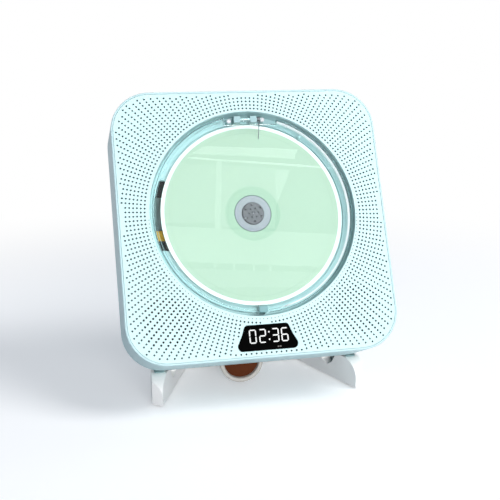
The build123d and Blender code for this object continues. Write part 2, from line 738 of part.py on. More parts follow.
ribbon_t = 0.2
with BuildPart() as flex_ribbon:
    slab((-70, -40), (DECK_SLOT_Y[0] - 7, DECK_SLOT_Y[0] - 0.4), (deck_front - ribbon_t, deck_front))
flex_ribbon.part.label = "flex_ribbon"
export_step(flex_ribbon.part, "parts/flex_ribbon.step")

# ---------------------------------------------------------------- laser sled and its drive
sled_x = -LENS_IN
sled_ends = (sled_x - SLED_HALF, sled_x + SLED_HALF)
sled_back = SLED_TOP_DEPTH + SLED_T
arm_depths = (SLED_TOP_DEPTH + 2.1, sled_back)
rack_back_y = -21.4
sled_crown = LENS_DEPTH + LENS_TRAVEL + 1.4
actuator_xy = (sled_x, 5.0)
actuator_r = 0.8

with BuildPart() as pickup_sled:
    slab(sled_ends, (-13, 13), (SLED_TOP_DEPTH, sled_back))
    slab((sled_x - 6, sled_x + 6), (-6, 8), (sled_crown, SLED_TOP_DEPTH))
    slab(sled_ends, (rack_back_y, -13), arm_depths)
    slab(sled_ends, (13, ROD_Y + 2.6), arm_depths)
    with BuildSketch(upright(sled_ends[0], WELL_Y - ROD_Y, ROD_DEPTH)):
        Circle(ROD_R + RUN)
    extrude(amount=2 * SLED_HALF, mode=Mode.SUBTRACT)
    # open fork over the second rod
    slab(
        sled_ends,
        (ROD_Y - ROD_R - 0.4, ROD_Y + 2.6),
        (ROD_DEPTH - ROD_R - RUN, ROD_DEPTH + ROD_R + RUN),
        mode=Mode.SUBTRACT,
    )
    disc_of(actuator_r + RUN, (0, sled_back - 3), *actuator_xy, mode=Mode.SUBTRACT)
    disc_of(1.6, (0, sled_back - 3), sled_x, 0, mode=Mode.SUBTRACT)
pickup_sled.part.label = "pickup_sled"
export_step(pickup_sled.part, "parts/pickup_sled.step")

with BuildPart() as pickup_lens:
    slab((sled_x - 4, sled_x + 4), (-3.6, 7), (LENS_DEPTH + 0.5, LENS_DEPTH + 1.1))
    fillet(pickup_lens.edges().filter_by(outward), 1.2)
    disc_of(2.6, (LENS_DEPTH, LENS_DEPTH + 0.5), sled_x, 0)
    disc_of(actuator_r, (LENS_DEPTH + 1.1, sled_back - 4), *actuator_xy)
pickup_lens.part.label = "pickup_lens"
export_step(pickup_lens.part, "parts/pickup_lens.step")

with BuildPart() as guide_rods:
    for y in (-ROD_Y, ROD_Y):
        with BuildSketch(upright(ROD_X[0], WELL_Y + y, ROD_DEPTH)):
            Circle(ROD_R)
        extrude(amount=ROD_X[1] - ROD_X[0])
guide_rods.part.label = "guide_rods"
export_step(guide_rods.part, "parts/guide_rods.step")

tooth_pitch = pi * MODULE
half_tooth = pi * MODULE / 4 - TOOTH_GAP / 2
rack_root = RACK_Y + 1.2 * MODULE
rack_tip = RACK_Y - 0.8 * MODULE
rack_depth = WHEEL_DEPTH + WHEEL_T + 0.6
rack_x = (sled_x - 2, sled_x - 2 + (LENS_OUT - LENS_IN) + 12)
rack_teeth = [
    GEAR_X + (step + 0.5) * tooth_pitch
    for step in range(-3, 18)
    if GEAR_X + (step + 0.5) * tooth_pitch < rack_x[1] - tooth_pitch / 2
]
with BuildPart() as sled_rack:
    with BuildSketch(well_level(rack_depth + PINION_T - 1)):
        with Locations((sum(rack_x) / 2, (rack_back_y + rack_root) / 2)):
            Rectangle(rack_x[1] - rack_x[0], rack_back_y - rack_root)
        with Locations(*[(x, 0) for x in rack_teeth]):
            Polygon(
                (-1.3 * half_tooth, rack_root + MODULE),
                (-1.3 * half_tooth, rack_root),
                (-0.5 * half_tooth, rack_tip),
                (0.5 * half_tooth, rack_tip),
                (1.3 * half_tooth, rack_root),
                (1.3 * half_tooth, rack_root + MODULE),
                align=None,
            )
    extrude(amount=PINION_T - 1)
sled_rack.part.label = "sled_rack"
export_step(sled_rack.part, "parts/sled_rack.step")

wheel_back = WHEEL_DEPTH + WHEEL_T
with BuildPart() as drive_gear:
    with BuildSketch(well_level(wheel_back, *gear_xy)):
        toothed_disc(WHEEL_TEETH, MOTOR_ANGLE + 180 / WHEEL_TEETH)
    extrude(amount=WHEEL_T)
    with BuildSketch(well_level(wheel_back + PINION_T, *gear_xy)):
        toothed_disc(PINION_TEETH, 90)
    extrude(amount=PINION_T)
    with BuildSketch(well_level(wheel_back + PINION_T, *gear_xy)):
        Circle(AXLE_R + RUN)
    extrude(amount=WHEEL_T + PINION_T, mode=Mode.SUBTRACT)
drive_gear.part.label = "drive_gear"
export_step(drive_gear.part, "parts/drive_gear.step")

with BuildPart() as motor_pinion:
    with BuildSketch(well_level(wheel_back, *motor_xy)):
        toothed_disc(MOTOR_TEETH, MOTOR_ANGLE + 180)
    extrude(amount=WHEEL_T)
    disc_of(SHAFT_R, (wheel_back, SLED_MOTOR_DEPTH + SLED_MOTOR_T - 2), *motor_xy)
motor_pinion.part.label = "motor_pinion"
export_step(motor_pinion.part, "parts/motor_pinion.step")

sled_motor_back = SLED_MOTOR_DEPTH + SLED_MOTOR_T
with BuildPart() as sled_motor:
    disc_of(SLED_MOTOR_R, (SLED_MOTOR_DEPTH, sled_motor_back), *motor_xy)
    disc_of(SHAFT_R + RUN, (0, sled_motor_back - 1.5), *motor_xy, mode=Mode.SUBTRACT)
sled_motor.part.label = "sled_motor"
export_step(sled_motor.part, "parts/sled_motor.step")

# ---------------------------------------------------------------- loudspeakers
coil_gap = 0.35
cone_front = PANEL_T + CONE_TRAVEL + 0.5
cone_back = 9.5
basket_lip = cone_front + CONE_TRAVEL + 0.2
for side, name in ((-1, "left"), (1, "right")):
    centre = level(0, side * speaker_x, -speaker_x)
    section = Plane(centre.origin, x_dir=face.x_dir, z_dir=-face.y_dir)
    speaker_axis = Axis(centre.origin, face.z_dir)
    with BuildPart() as speaker:
        with BuildSketch(section):
            with BuildLine():
                Polyline(
                    (SPEAKER_R, -PANEL_T),
                    (SPEAKER_R, -basket_lip - 0.4),
                    (SPEAKER_R - 1.2, -basket_lip - 0.4),
                    (MAGNET_R, -12),
                    (MAGNET_R, -SPEAKER_BACK),
                    (0, -SPEAKER_BACK),
                    (0, -12.5),
                    (COIL_R - coil_gap, -12.5),
                    (COIL_R - coil_gap, -SPEAKER_BACK + 4),
                    (COIL_R + CONE_T + coil_gap, -SPEAKER_BACK + 4),
                    (COIL_R + CONE_T + coil_gap, -11.2),
                    (MAGNET_R - 1, -11.2),
                    (CONE_R + 0.4, -basket_lip),
                    (CONE_R + 0.4, -PANEL_T),
                    close=True,
                )
            make_face()
        revolve(axis=speaker_axis)
    speaker.part.label = f"speaker_{name}"
    export_step(speaker.part, f"parts/speaker_{name}.step")

    with BuildPart() as cone:
        with BuildSketch(section):
            with BuildLine():
                Polyline(
                    (CONE_R, -cone_front),
                    (COIL_R + CONE_T, -cone_back),
                    (COIL_R + CONE_T, -SPEAKER_BACK + 6),
                    (COIL_R, -SPEAKER_BACK + 6),
                    (COIL_R, -cone_back),
                    (0, -cone_back + 2),
                    (0, -cone_back + 2 + CONE_T),
                    (COIL_R, -cone_back + CONE_T),
                    (CONE_R, -cone_front + CONE_T / 2),
                    close=True,
                )
            make_face()
        revolve(axis=speaker_axis)
    cone.part.label = f"cone_{name}"
    export_step(cone.part, f"parts/cone_{name}.step")

# ---------------------------------------------------------------- keys on the top wall
inner_half = inner_w / 2
key_names = ("power", "previous", "play", "next", "volume")
key_bottom = inner_half - 0.3 - 1.3
for x, name in zip(button_x, key_names):
    with BuildPart() as key:
        with BuildSketch(top_wall.offset(BUTTON_PROUD)):
            with Locations((x, 0)):
                SlotOverall(BUTTON_W, BUTTON_H)
        extrude(amount=-(half_w + BUTTON_PROUD - key_bottom))
        fillet(key.edges().group_by(upward)[-1], 0.4)
        with BuildSketch(top_wall.offset(key_bottom - half_w)):
            with Locations((x, 0)):
                SlotOverall(BUTTON_W + 2, BUTTON_H + 2)
        extrude(amount=1.3)
    key.part.label = f"key_{name}"
    export_step(key.part, f"parts/key_{name}.step")

board_depths = (mid_depth - 7, mid_depth + 7)
tact_top = key_bottom - BUTTON_TRAVEL - 0.3
tact_depths = (mid_depth - 3, mid_depth + 3)
with BuildPart() as key_board:
    slab((-46, 46), (key_board_y, key_board_y + BOARD_T), board_depths, level)
    for x in button_x:
        slab((x - 3, x + 3), (key_board_y + BOARD_T, tact_top - 1), tact_depths, level)
    with BuildSketch(top_wall.offset(tact_top - half_w)):
        with Locations(*[(x, 0) for x in button_x]):
            Circle(1.7)
    extrude(amount=-2)
    with BuildSketch(top_wall.offset(key_board_y - half_w)):
        with Locations(*key_posts):
            Circle(SCREW_R)
    extrude(amount=BOARD_T, mode=Mode.SUBTRACT)
key_board.part.label = "key_board"
export_step(key_board.part, "parts/key_board.step")

# ---------------------------------------------------------------- power switch and sockets
side_front = side_board_x + BOARD_T
knob_y = SWITCH_Y - SWITCH_TRAVEL / 2
with BuildPart() as power_switch:
    with BuildSketch(right_wall.offset(KNOB_PROUD)):
        with Locations((knob_y, 0)):
            SlotOverall(5, 3)
    extrude(amount=-(WALL + KNOB_PROUD + 1))
    with BuildSketch(right_wall.offset(-WALL - 1)):
        with Locations((knob_y, 0)):
            Rectangle(3.4, 1.6)
    extrude(amount=-4.8)
power_switch.part.label = "power_switch"
export_step(power_switch.part, "parts/power_switch.step")

with BuildPart() as switch_body:
    slab(
        (side_front, inner_half - 2.2),
        (SWITCH_Y - 7, SWITCH_Y + 7),
        (mid_depth - 3.5, mid_depth + 3.5),
        level,
    )
    slab(
        (side_front + 3, inner_half),
        (SWITCH_Y - SWITCH_TRAVEL / 2 - 2, SWITCH_Y + SWITCH_TRAVEL / 2 + 2),
        (mid_depth - 1.1, mid_depth + 1.1),
        level,
        mode=Mode.SUBTRACT,
    )
switch_body.part.label = "switch_body"
export_step(switch_body.part, "parts/switch_body.step")

for jack_y, bore_r, depth, name in (
    (POWER_JACK_Y, POWER_BORE_R, 9.0, "power_socket"),
    (AUDIO_JACK_Y, AUDIO_BORE_R, AUDIO_BORE_L, "audio_socket"),
):
    with BuildPart() as socket:
        slab(
            (side_front, inner_half - SEAM),
            (jack_y - bore_r - 2, jack_y + bore_r + 2),
            (mid_depth - bore_r - 2, mid_depth + bore_r + 2),
            level,
        )
        with BuildSketch(right_wall):
            with Locations((jack_y, 0)):
                Circle(bore_r + 1.3 - SEAM)
        extrude(amount=-WALL - SEAM)
        with BuildSketch(right_wall):
            with Locations((jack_y, 0)):
                Circle(bore_r)
        extrude(amount=-depth, mode=Mode.SUBTRACT)
        if name == "power_socket":
            with BuildSketch(right_wall.offset(-depth)):
                with Locations((jack_y, 0)):
                    Circle(1.0)
            extrude(amount=depth - 1)
    socket.part.label = name
    export_step(socket.part, f"parts/{name}.step")

with BuildPart() as side_board:
    slab((side_board_x, side_front), (-36, 34), board_depths, level)
    with BuildSketch(right_wall.offset(side_board_x - half_w)):
        with Locations(*side_posts):
            Circle(SCREW_R)
    extrude(amount=BOARD_T, mode=Mode.SUBTRACT)
side_board.part.label = "side_board"
export_step(side_board.part, "parts/side_board.step")

# ---------------------------------------------------------------- main board
main_front = sled_motor_back + MAIN_GAP
main_back = main_front + BOARD_T
main_posts = [(MAIN_X[0] + 4, MAIN_Y[0] + 4), (MAIN_X[1] - 4, MAIN_Y[0] + 4)]
main_posts += [(MAIN_X[0] + 4, MAIN_Y[1] - 4), (MAIN_X[1] - 4, MAIN_Y[1] - 4)]
with BuildPart() as main_board:
    slab(MAIN_X, MAIN_Y, (main_front, main_back), level)
    for x, y, w, h, t in ((6, 2, 14, 14, 1.4), (30, 8, 9, 7, 1.4), (-20, 22, 10, 6, 1.4)):
        slab((x - w / 2, x + w / 2), (y - h / 2, y + h / 2), (main_front - t, main_front), level)
    for x, y in ((46, 30), (46, 21), (46, -16)):
        disc_of(3.2, (main_front - 8, main_front), x, y, level)
    for x, y in main_posts:
        disc_of(SCREW_R, (main_front, main_back), x, y, level, mode=Mode.SUBTRACT)
main_board.part.label = "main_board"
export_step(main_board.part, "parts/main_board.step")

screw_planes = [level(main_front, x, y) for x, y in main_posts]
screw_planes += [
    Plane(
        face.from_local_coords((x, key_board_y, -mid_depth)),
        x_dir=face.x_dir,
        z_dir=-face.y_dir,
    )
    for x, _ in key_posts
]
screw_planes += [facing_in(upright(side_board_x, y, mid_depth)) for y, _ in side_posts]
board_screws = pan_screws(screw_planes, 5)
board_screws.part.label = "board_screws"
export_step(board_screws.part, "parts/board_screws.step")

# ---------------------------------------------------------------- rear cover
def case_back(z):
    """How far behind its lowest edge the case's back is at a height."""
    return (z - edge_z) * tan(radians(TILT))


def stand_side(x):
    """Upright plane at x: its X runs backwards from the case's lowest edge, its Y is height."""
    return Plane(origin=(x, edge_y, 0), x_dir=(0, 1, 0), z_dir=(1, 0, 0))


heel_outline = [
    (case_back(22.6), 22.6),
    (7.5, 20.6),
    (8.3, 17.0),
    (11.1, 12.2),
    (14.5, 8.9),
    (18.9, 10.9),
    (20.3, 16.0),
    (case_back(44.0), 44.0),
]
plate_w = inner_w - 2 * SEAM
vent_spots = [(x, y) for x in (-24, -12, 0, 12, 24) for y in VENT_Y]

with BuildPart() as rear_cover:
    with BuildSketch(level(cover_top)):
        RectangleRounded(plate_w, plate_w, inner_r - SEAM)
    extrude(amount=-COVER_PLATE_T)
    # keyholes to hang the player on two wall screws
    with BuildSketch(level(cover_top)):
        for side in (-1, 1):
            with Locations((side * KEYHOLE_X, keyhole_y)):
                Circle(KEYHOLE_R)
            with Locations((side * KEYHOLE_X, keyhole_y + KEYHOLE_DROP / 2)):
                SlotCenterToCenter(KEYHOLE_DROP, 2 * KEYHOLE_SLOT_R, rotation=90)
        with Locations(*vent_spots):
            SlotOverall(26, 2.6, rotation=90)
    extrude(amount=-COVER_PLATE_T, mode=Mode.SUBTRACT)
    # sunk holes for the four long screws
    for x, y in boss_xy:
        disc_of(SCREW_R + 0.2, (cover_top, CASE_D), x, y, level, mode=Mode.SUBTRACT)
        disc_of(SCREW_HEAD_R + 0.3, (CASE_D - 1.5, CASE_D), x, y, level, mode=Mode.SUBTRACT)
    # posts that carry the main board
    for x, y in main_posts:
        disc_of(3.0, (main_back, cover_top + 1), x, y, level)
        disc_of(SCREW_R, (main_back, cover_top + 2), x, y, level, mode=Mode.SUBTRACT)
    # heels that drop into the notches of the stand
    for side in (-1, 1):
        with BuildSketch(stand_side(side * (leg_x - HEEL_IN) - HEEL_W / 2)) as heel:
            Polygon(*heel_outline, align=None)
            fillet(heel.vertices().sort_by(Axis.Y)[0], 2.2)
        extrude(amount=HEEL_W)
rear_cover.part.label = "rear_cover"
export_step(rear_cover.part, "parts/rear_cover.step")

case_screws = pan_screws([facing_in(level(CASE_D - 1.5, x, y)) for x, y in boss_xy], 9)
case_screws.part.label = "case_screws"
export_step(case_screws.part, "parts/case_screws.step")

# ---------------------------------------------------------------- stand
lobe_top = SEAT_TOP - SEAT_PAD_T
rest_gap = SEAT_GAP / lean_cos
bar_screw_x = leg_x - 21.5
bar_screw_yz = (sum(BAR_Y) / 2, sum(BAR_Z) / 2)
spread = tan(radians(SPLAY))
leg_inner_tail = leg_x - spread * (LEG_TAIL - LEG_FRONT)


def leg_inner_x(y):
    """Inner face of the right leg."""
    return leg_x - spread * (y - LEG_FRONT)


with BuildPart() as leg_right:
    with BuildSketch(stand_side(0)) as leg_profile:
        with BuildLine():
            lobe = ThreePointArc(
                (LEG_FRONT, 5.5),
                (LEG_FRONT + 3.6, lobe_top - 3.7),
                (LEG_FRONT + 12.5, lobe_top),
            )
            Polyline(
                lobe @ 1,
                *NOTCH,
                *ARM_TOP,
                ARM_ROOT,
                (LEG_TAIL, 6),
                (LEG_TAIL, FOOT_PAD_T),
                (LEG_FRONT, FOOT_PAD_T),
                lobe @ 0,
            )
        make_face()
        fillet(leg_profile.vertices().sort_by_distance((*NOTCH[0], 0))[0], 0.8)
        fillet(leg_profile.vertices().sort_by_distance((*NOTCH[2], 0))[0], 2.4)
        fillet(leg_profile.vertices().sort_by_distance((*ARM_ROOT, 0))[0], 8)
    extrude(amount=half_w)
    with BuildSketch(Plane(origin=(0, edge_y, 0))):
        Polygon(
            (leg_x, LEG_FRONT),
            (leg_x + 6, LEG_FRONT + 5),
            (leg_x + 4.5, LEG_FRONT + 25),
            (leg_x - 13, LEG_FRONT + 53),
            (leg_inner_tail + LEG_T, LEG_TAIL),
            (leg_inner_tail, LEG_TAIL),
            align=None,
        )
    extrude(amount=LEG_HEAD, mode=Mode.INTERSECT)
    # sunk hole for the screw into the cross bar
    with BuildSketch(stand_side(bar_screw_x)):
        with Locations(bar_screw_yz):
            Circle(SCREW_HEAD_R + 0.3)
    extrude(amount=half_w - bar_screw_x, mode=Mode.SUBTRACT)
    with BuildSketch(stand_side(bar_screw_x)):
        with Locations(bar_screw_yz):
            Circle(SCREW_R)
    extrude(amount=-half_w, mode=Mode.SUBTRACT)
leg_right.part.label = "leg_right"
export_step(leg_right.part, "parts/leg_right.step")

with BuildPart() as leg_left:
    mirror(leg_right.part, about=Plane.YZ)
leg_left.part.label = "leg_left"
export_step(leg_left.part, "parts/leg_left.step")

with BuildPart() as stand_bar:
    with BuildSketch(Plane(origin=(0, edge_y, BAR_Z[0]))):
        Polygon(
            (leg_inner_x(BAR_Y[0]), BAR_Y[0]),
            (leg_inner_x(BAR_Y[1]), BAR_Y[1]),
            (-leg_inner_x(BAR_Y[1]), BAR_Y[1]),
            (-leg_inner_x(BAR_Y[0]), BAR_Y[0]),
            align=None,
        )
    extrude(amount=BAR_Z[1] - BAR_Z[0])
    for side in (-1, 1):
        with BuildSketch(stand_side(side * leg_inner_x(BAR_Y[0]))):
            with Locations(bar_screw_yz):
                Circle(SCREW_R)
        extrude(amount=-side * 14, mode=Mode.SUBTRACT)
stand_bar.part.label = "stand_bar"
export_step(stand_bar.part, "parts/stand_bar.step")

screw_seats = [
    Plane(
        origin=(side * bar_screw_x, edge_y + bar_screw_yz[0], bar_screw_yz[1]),
        x_dir=(0, 1, 0),
        z_dir=(side, 0, 0),
    )
    for side in (-1, 1)
]
stand_screws = pan_screws(screw_seats, 12)
stand_screws.part.label = "stand_screws"
export_step(stand_screws.part, "parts/stand_screws.step")

# Cable hoop: a ring under the case on two cheeks that run back to the cross bar.
hoop_front = Plane(
    origin=(HOOP_X, edge_y + HOOP_Y[0], HOOP_Z), x_dir=(1, 0, 0), z_dir=(0, -1, 0)
)
hoop_w = HOOP_Y[1] - HOOP_Y[0]
cheek_front = HOOP_Y[0] + 2
cheek = [
    (cheek_front, 16),
    (cheek_front, 21),
    (HOOP_Y[1] + 2, 21),
    (BAR_Y[0], BAR_Z[1]),
    (BAR_Y[0], BAR_Z[0]),
]
with BuildPart() as cable_hoop:
    with BuildSketch(hoop_front):
        Circle(HOOP_R)
        Circle(HOOP_R - HOOP_BAND, mode=Mode.SUBTRACT)
    extrude(amount=-hoop_w)
    fillet(cable_hoop.edges().group_by(Axis.Y)[0], 1.2)
    for side in (-1, 1):
        with BuildSketch(stand_side(HOOP_X + side * (HOOP_R - HOOP_BAND / 2) - HOOP_BAND / 2)):
            Polygon(*cheek, align=None)
        extrude(amount=HOOP_BAND)
cable_hoop.part.label = "cable_hoop"
export_step(cable_hoop.part, "parts/cable_hoop.step")

with BuildPart() as cord_grommet:
    with BuildSketch(hoop_front.offset(-hoop_w + 3)):
        Circle(HOOP_R - HOOP_BAND - SNUG)
        with Locations((0, 6)):
            SlotOverall(12, 4.5, rotation=90, mode=Mode.SUBTRACT)
    extrude(amount=-3)
cord_grommet.part.label = "cord_grommet"
export_step(cord_grommet.part, "parts/cord_grommet.step")

# Rubber: seats on the lobes, pads on the arms and feet under the legs.
with BuildPart() as seat_pads:
    for side in (-1, 1):
        with BuildSketch(Plane(origin=(side * leg_x, edge_y + sum(SEAT_Y) / 2, SEAT_TOP))):
            RectangleRounded(SEAT_W, SEAT_Y[1] - SEAT_Y[0], 1.5)
        extrude(amount=-SEAT_PAD_T)
seat_pads.part.label = "seat_pads"
export_step(seat_pads.part, "parts/seat_pads.step")


def arm_front(z):
    """Front edge of an arm at a height."""
    low, high = NOTCH[3], ARM_TOP[0]
    return low[0] + (high[0] - low[0]) * (z - low[1]) / (high[1] - low[1])


with BuildPart() as rest_pads:
    for side in (-1, 1):
        with BuildSketch(stand_side(side * (leg_x - REST_IN) - REST_W / 2)):
            Polygon(
                (case_back(REST_Z[0]) + rest_gap, REST_Z[0]),
                (case_back(REST_Z[1]) + rest_gap, REST_Z[1]),
                (arm_front(REST_Z[1]), REST_Z[1]),
                (arm_front(REST_Z[0]), REST_Z[0]),
                align=None,
            )
        extrude(amount=REST_W)
rest_pads.part.label = "rest_pads"
export_step(rest_pads.part, "parts/rest_pads.step")

with BuildPart() as foot_pads:
    for side in (-1, 1):
        for x, y in FOOT_SPOTS:
            with BuildSketch(Plane(origin=(side * (leg_x + x), edge_y + y, 0))):
                Circle(FOOT_PAD_R)
            extrude(amount=FOOT_PAD_T)
foot_pads.part.label = "foot_pads"
export_step(foot_pads.part, "parts/foot_pads.step")
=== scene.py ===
# %% [markdown]
# # A disc player that stands or hangs, dressed in Blender
# The measured solids of the player are already there: they come in as a fixed frame, with every
# piece in its place and every hinge and slide known. This notebook gives each visible surface its
# real finish, makes the pieces that solids describe too plainly (the pierced front, the printed
# disc, the coiled spring, the lit digits), and sets up a camera and a small studio.

# %% Load the frame
import json
import math

import bmesh
import bpy
from mathutils import Matrix, Vector


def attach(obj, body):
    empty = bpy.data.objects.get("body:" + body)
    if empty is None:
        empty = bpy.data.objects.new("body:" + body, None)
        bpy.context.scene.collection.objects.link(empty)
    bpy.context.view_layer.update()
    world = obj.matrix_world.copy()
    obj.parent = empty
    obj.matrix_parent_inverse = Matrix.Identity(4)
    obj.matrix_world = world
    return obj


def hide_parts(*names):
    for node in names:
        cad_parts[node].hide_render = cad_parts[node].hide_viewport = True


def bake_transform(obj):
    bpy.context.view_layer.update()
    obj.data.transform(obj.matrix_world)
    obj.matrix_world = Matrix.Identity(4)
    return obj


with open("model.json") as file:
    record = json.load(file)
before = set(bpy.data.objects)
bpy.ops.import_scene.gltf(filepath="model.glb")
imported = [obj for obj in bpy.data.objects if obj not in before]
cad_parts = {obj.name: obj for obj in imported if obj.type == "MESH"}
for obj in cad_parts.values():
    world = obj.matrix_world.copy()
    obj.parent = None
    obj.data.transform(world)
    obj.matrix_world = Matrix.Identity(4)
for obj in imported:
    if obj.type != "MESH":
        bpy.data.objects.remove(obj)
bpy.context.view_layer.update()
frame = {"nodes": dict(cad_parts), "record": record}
nodes = frame["nodes"]
scene = bpy.context.scene
scene.view_settings.view_transform = "Standard"

# %% [markdown]
# The face of the player leans back, so its pieces are easiest to draw flat and then lean. Sizes
# are written in millimetres, "out" is the direction the face looks, and one matrix takes a point
# from the face (right, up, out) to the room, in metres. Round pieces are drawn about the disc's
# middle, which lies a little above the middle of the face.

# %% The face's own axes
LEAN = math.radians(25.7)
FACE_MIDDLE = Vector((0.0, -0.0171205, 0.1156395))
DISC_UP = 6.0
right_way = Vector((1, 0, 0))
up_way = Vector((0, math.sin(LEAN), math.cos(LEAN)))
out_way = Vector((0, -math.cos(LEAN), math.sin(LEAN)))
TURN = Matrix((right_way, up_way, out_way)).transposed().to_4x4()
FACE = Matrix.Translation(FACE_MIDDLE) @ TURN @ Matrix.Scale(0.001, 4)
WELL = FACE @ Matrix.Translation((0, DISC_UP, 0))


def face_point(x, y, depth=0.0):
    """A place on the face, depth millimetres into the case."""
    return FACE @ Vector((x, y, -depth))


print("face middle", tuple(round(v, 4) for v in face_point(0, 0)))

# %% [markdown]
# Small helpers keep the later cells short. One turns a half-finished mesh into a named object with
# its faces pointing outwards, one spins an outline about an axis like a lathe, and one copies a
# solid and rounds its sharp edges a little, because no moulded edge is ever perfectly sharp and
# the thin highlight along it is what the eye looks for. A rounded edge must not bend the shading
# of the flat face beside it, or a flat lid mirrors the room like a dome, so the Weighted Normal
# modifier lets the big faces decide.

# %% Helpers for meshes


def to_object(name, bm, place=Matrix.Identity(4), recalc=True):
    """bmesh to object at the origin, its place in its mesh."""
    bmesh.ops.remove_doubles(bm, verts=bm.verts, dist=1e-5)
    bm.transform(place)
    if recalc:
        bmesh.ops.recalc_face_normals(bm, faces=bm.faces)
    mesh = bpy.data.meshes.new(name)
    bm.to_mesh(mesh)
    bm.free()
    obj = bpy.data.objects.new(name, mesh)
    scene.collection.objects.link(obj)
    return obj


def baked(obj):
    """Apply whatever modifiers an object has, as one plain mesh."""
    depsgraph = bpy.context.evaluated_depsgraph_get()
    depsgraph.update()
    mesh = bpy.data.meshes.new_from_object(obj.evaluated_get(depsgraph))
    obj.modifiers.clear()
    old, obj.data = obj.data, mesh
    bpy.data.meshes.remove(old)
    mesh.name = obj.name


print("mesh helpers ready")

# %% [markdown]
# Smooth shading and a lathe come next. The lathe finishes with the same smoothing as every other
# made piece, so that they all catch light in the same way.

# %% Smoothing and turning


def smooth_by_angle(obj, degrees=35):
    """Smooth shading; edges sharper than the angle stay sharp and flat faces stay flat."""
    mesh = obj.data
    mesh.shade_smooth()
    bm = bmesh.new()
    bm.from_mesh(mesh)
    for edge in bm.edges:
        sharp = len(edge.link_faces) == 2 and edge.calc_face_angle(0) > math.radians(degrees)
        edge.smooth = not sharp
    bm.to_mesh(mesh)
    bm.free()
    weighted = obj.modifiers.new("flat faces stay flat", "WEIGHTED_NORMAL")
    weighted.keep_sharp = True
    weighted.weight = 100
    baked(obj)


def lathe(name, outline, place=WELL, steps=128, closed=True):
    """Spin an outline of (radius, out) points, in millimetres, about the axis of place."""
    bm = bmesh.new()
    rings = []
    for r, z in outline:
        if r < 1e-6:
            rings.append([bm.verts.new((0, 0, z))])
            continue
        turns = [2 * math.pi * k / steps for k in range(steps)]
        rings.append([bm.verts.new((r * math.cos(a), r * math.sin(a), z)) for a in turns])
    pairs = list(zip(rings, rings[1:])) + ([(rings[-1], rings[0])] if closed else [])
    for one, two in pairs:
        if len(one) == 1 and len(two) == 1:
            continue
        for k in range(steps):
            corners = [one[k % len(one)], one[(k + 1) % len(one)]]
            corners += [two[(k + 1) % len(two)], two[k % len(two)]]
            bm.faces.new(list(dict.fromkeys(corners)))
    obj = to_object(name, bm, place)
    smooth_by_angle(obj)
    return obj


print("smoothing and lathe ready")

# %% [markdown]
# The last two helpers round the edges of a solid's copy, and attach a finished piece to the body
# it moves with and hide the solids it stands for.

# %% Rounding and keeping


def softened(node, name, width, steps=2, angle=38):
    """Copy of a solid with its sharp edges rounded. width is in millimetres."""
    bm = bmesh.new()
    bm.from_mesh(nodes[node].data)
    bmesh.ops.remove_doubles(bm, verts=bm.verts, dist=2e-6)
    flat = math.radians(1.0)
    bmesh.ops.dissolve_limit(bm, angle_limit=flat, verts=bm.verts, edges=bm.edges)
    obj = to_object(name, bm, recalc=False)
    bevel = obj.modifiers.new("rounding", "BEVEL")
    bevel.width = width / 1000
    bevel.segments = steps
    bevel.limit_method = "ANGLE"
    bevel.angle_limit = math.radians(angle)
    bevel.use_clamp_overlap = True
    baked(obj)
    smooth_by_angle(obj, 30)
    return obj


def keep(obj, body, slot, *stands_for):
    """Attach a finished piece to its body and hide the solids it stands for; slot is not used."""
    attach(obj, body)
    if stands_for:
        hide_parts(*stands_for)
    print(obj.name, len(obj.data.polygons), "faces")


print("rounding and keep ready")

# %% [markdown]
# The same pattern of small things comes back again and again, so Geometry Nodes place it. These
# helpers add a node, add a Math node, open an empty tree with one named number for every size,
# and put a finished tree on an object: each number goes in by its socket's identifier, then the
# result is baked to a plain mesh.

# %% Helpers for node trees


def add(tree, kind, inputs=None, **settings):
    """New node; its inputs are other nodes' sockets or plain values."""
    made = tree.nodes.new(kind)
    for key, value in settings.items():
        setattr(made, key, value)
    for key, value in (inputs or {}).items():
        if isinstance(value, bpy.types.NodeSocket):
            tree.links.new(value, made.inputs[key])
        else:
            made.inputs[key].default_value = value
    return made


def calc(tree, operation, *values):
    """Result of one Math node on numbers or sockets."""
    return add(tree, "ShaderNodeMath", dict(enumerate(values)), operation=operation).outputs[0]


def sized_tree(name, **sizes):
    """Geometry tree with its group input and output; sizes become named inputs."""
    tree = bpy.data.node_groups.new(name, "GeometryNodeTree")
    side = tree.interface
    side.new_socket("Geometry", in_out="INPUT", socket_type="NodeSocketGeometry")
    side.new_socket("Geometry", in_out="OUTPUT", socket_type="NodeSocketGeometry")
    side.new_socket("Material", in_out="INPUT", socket_type="NodeSocketMaterial")
    for label, value in sizes.items():
        kind = "NodeSocketInt" if isinstance(value, int) else "NodeSocketFloat"
        side.new_socket(label, in_out="INPUT", socket_type=kind).default_value = value
    return tree, tree.nodes.new("NodeGroupInput").outputs


def finish_tree(tree, geometry, inputs):
    """Every tree ends the same way: Realize Instances, then Set Material."""
    real = add(tree, "GeometryNodeRealizeInstances", {"Geometry": geometry}).outputs[0]
    dressed = {"Geometry": real, "Material": inputs["Material"]}
    painted = add(tree, "GeometryNodeSetMaterial", dressed).outputs[0]
    add(tree, "NodeGroupOutput", {"Geometry": painted})


def grow(obj, tree, material, place, **values):
    """Run a tree on an object drawn in millimetres, bake it, and move the mesh to its place."""
    modifier = obj.modifiers.new(tree.name, "NODES")
    modifier.node_group = tree
    items = [item for item in tree.interface.items_tree if item.in_out == "INPUT"]
    sockets = {item.name: item.identifier for item in items}
    modifier[sockets["Material"]] = material
    for label, value in values.items():
        modifier[sockets[label]] = value
    baked(obj)
    obj.data.transform(place)


print("tree helpers ready")

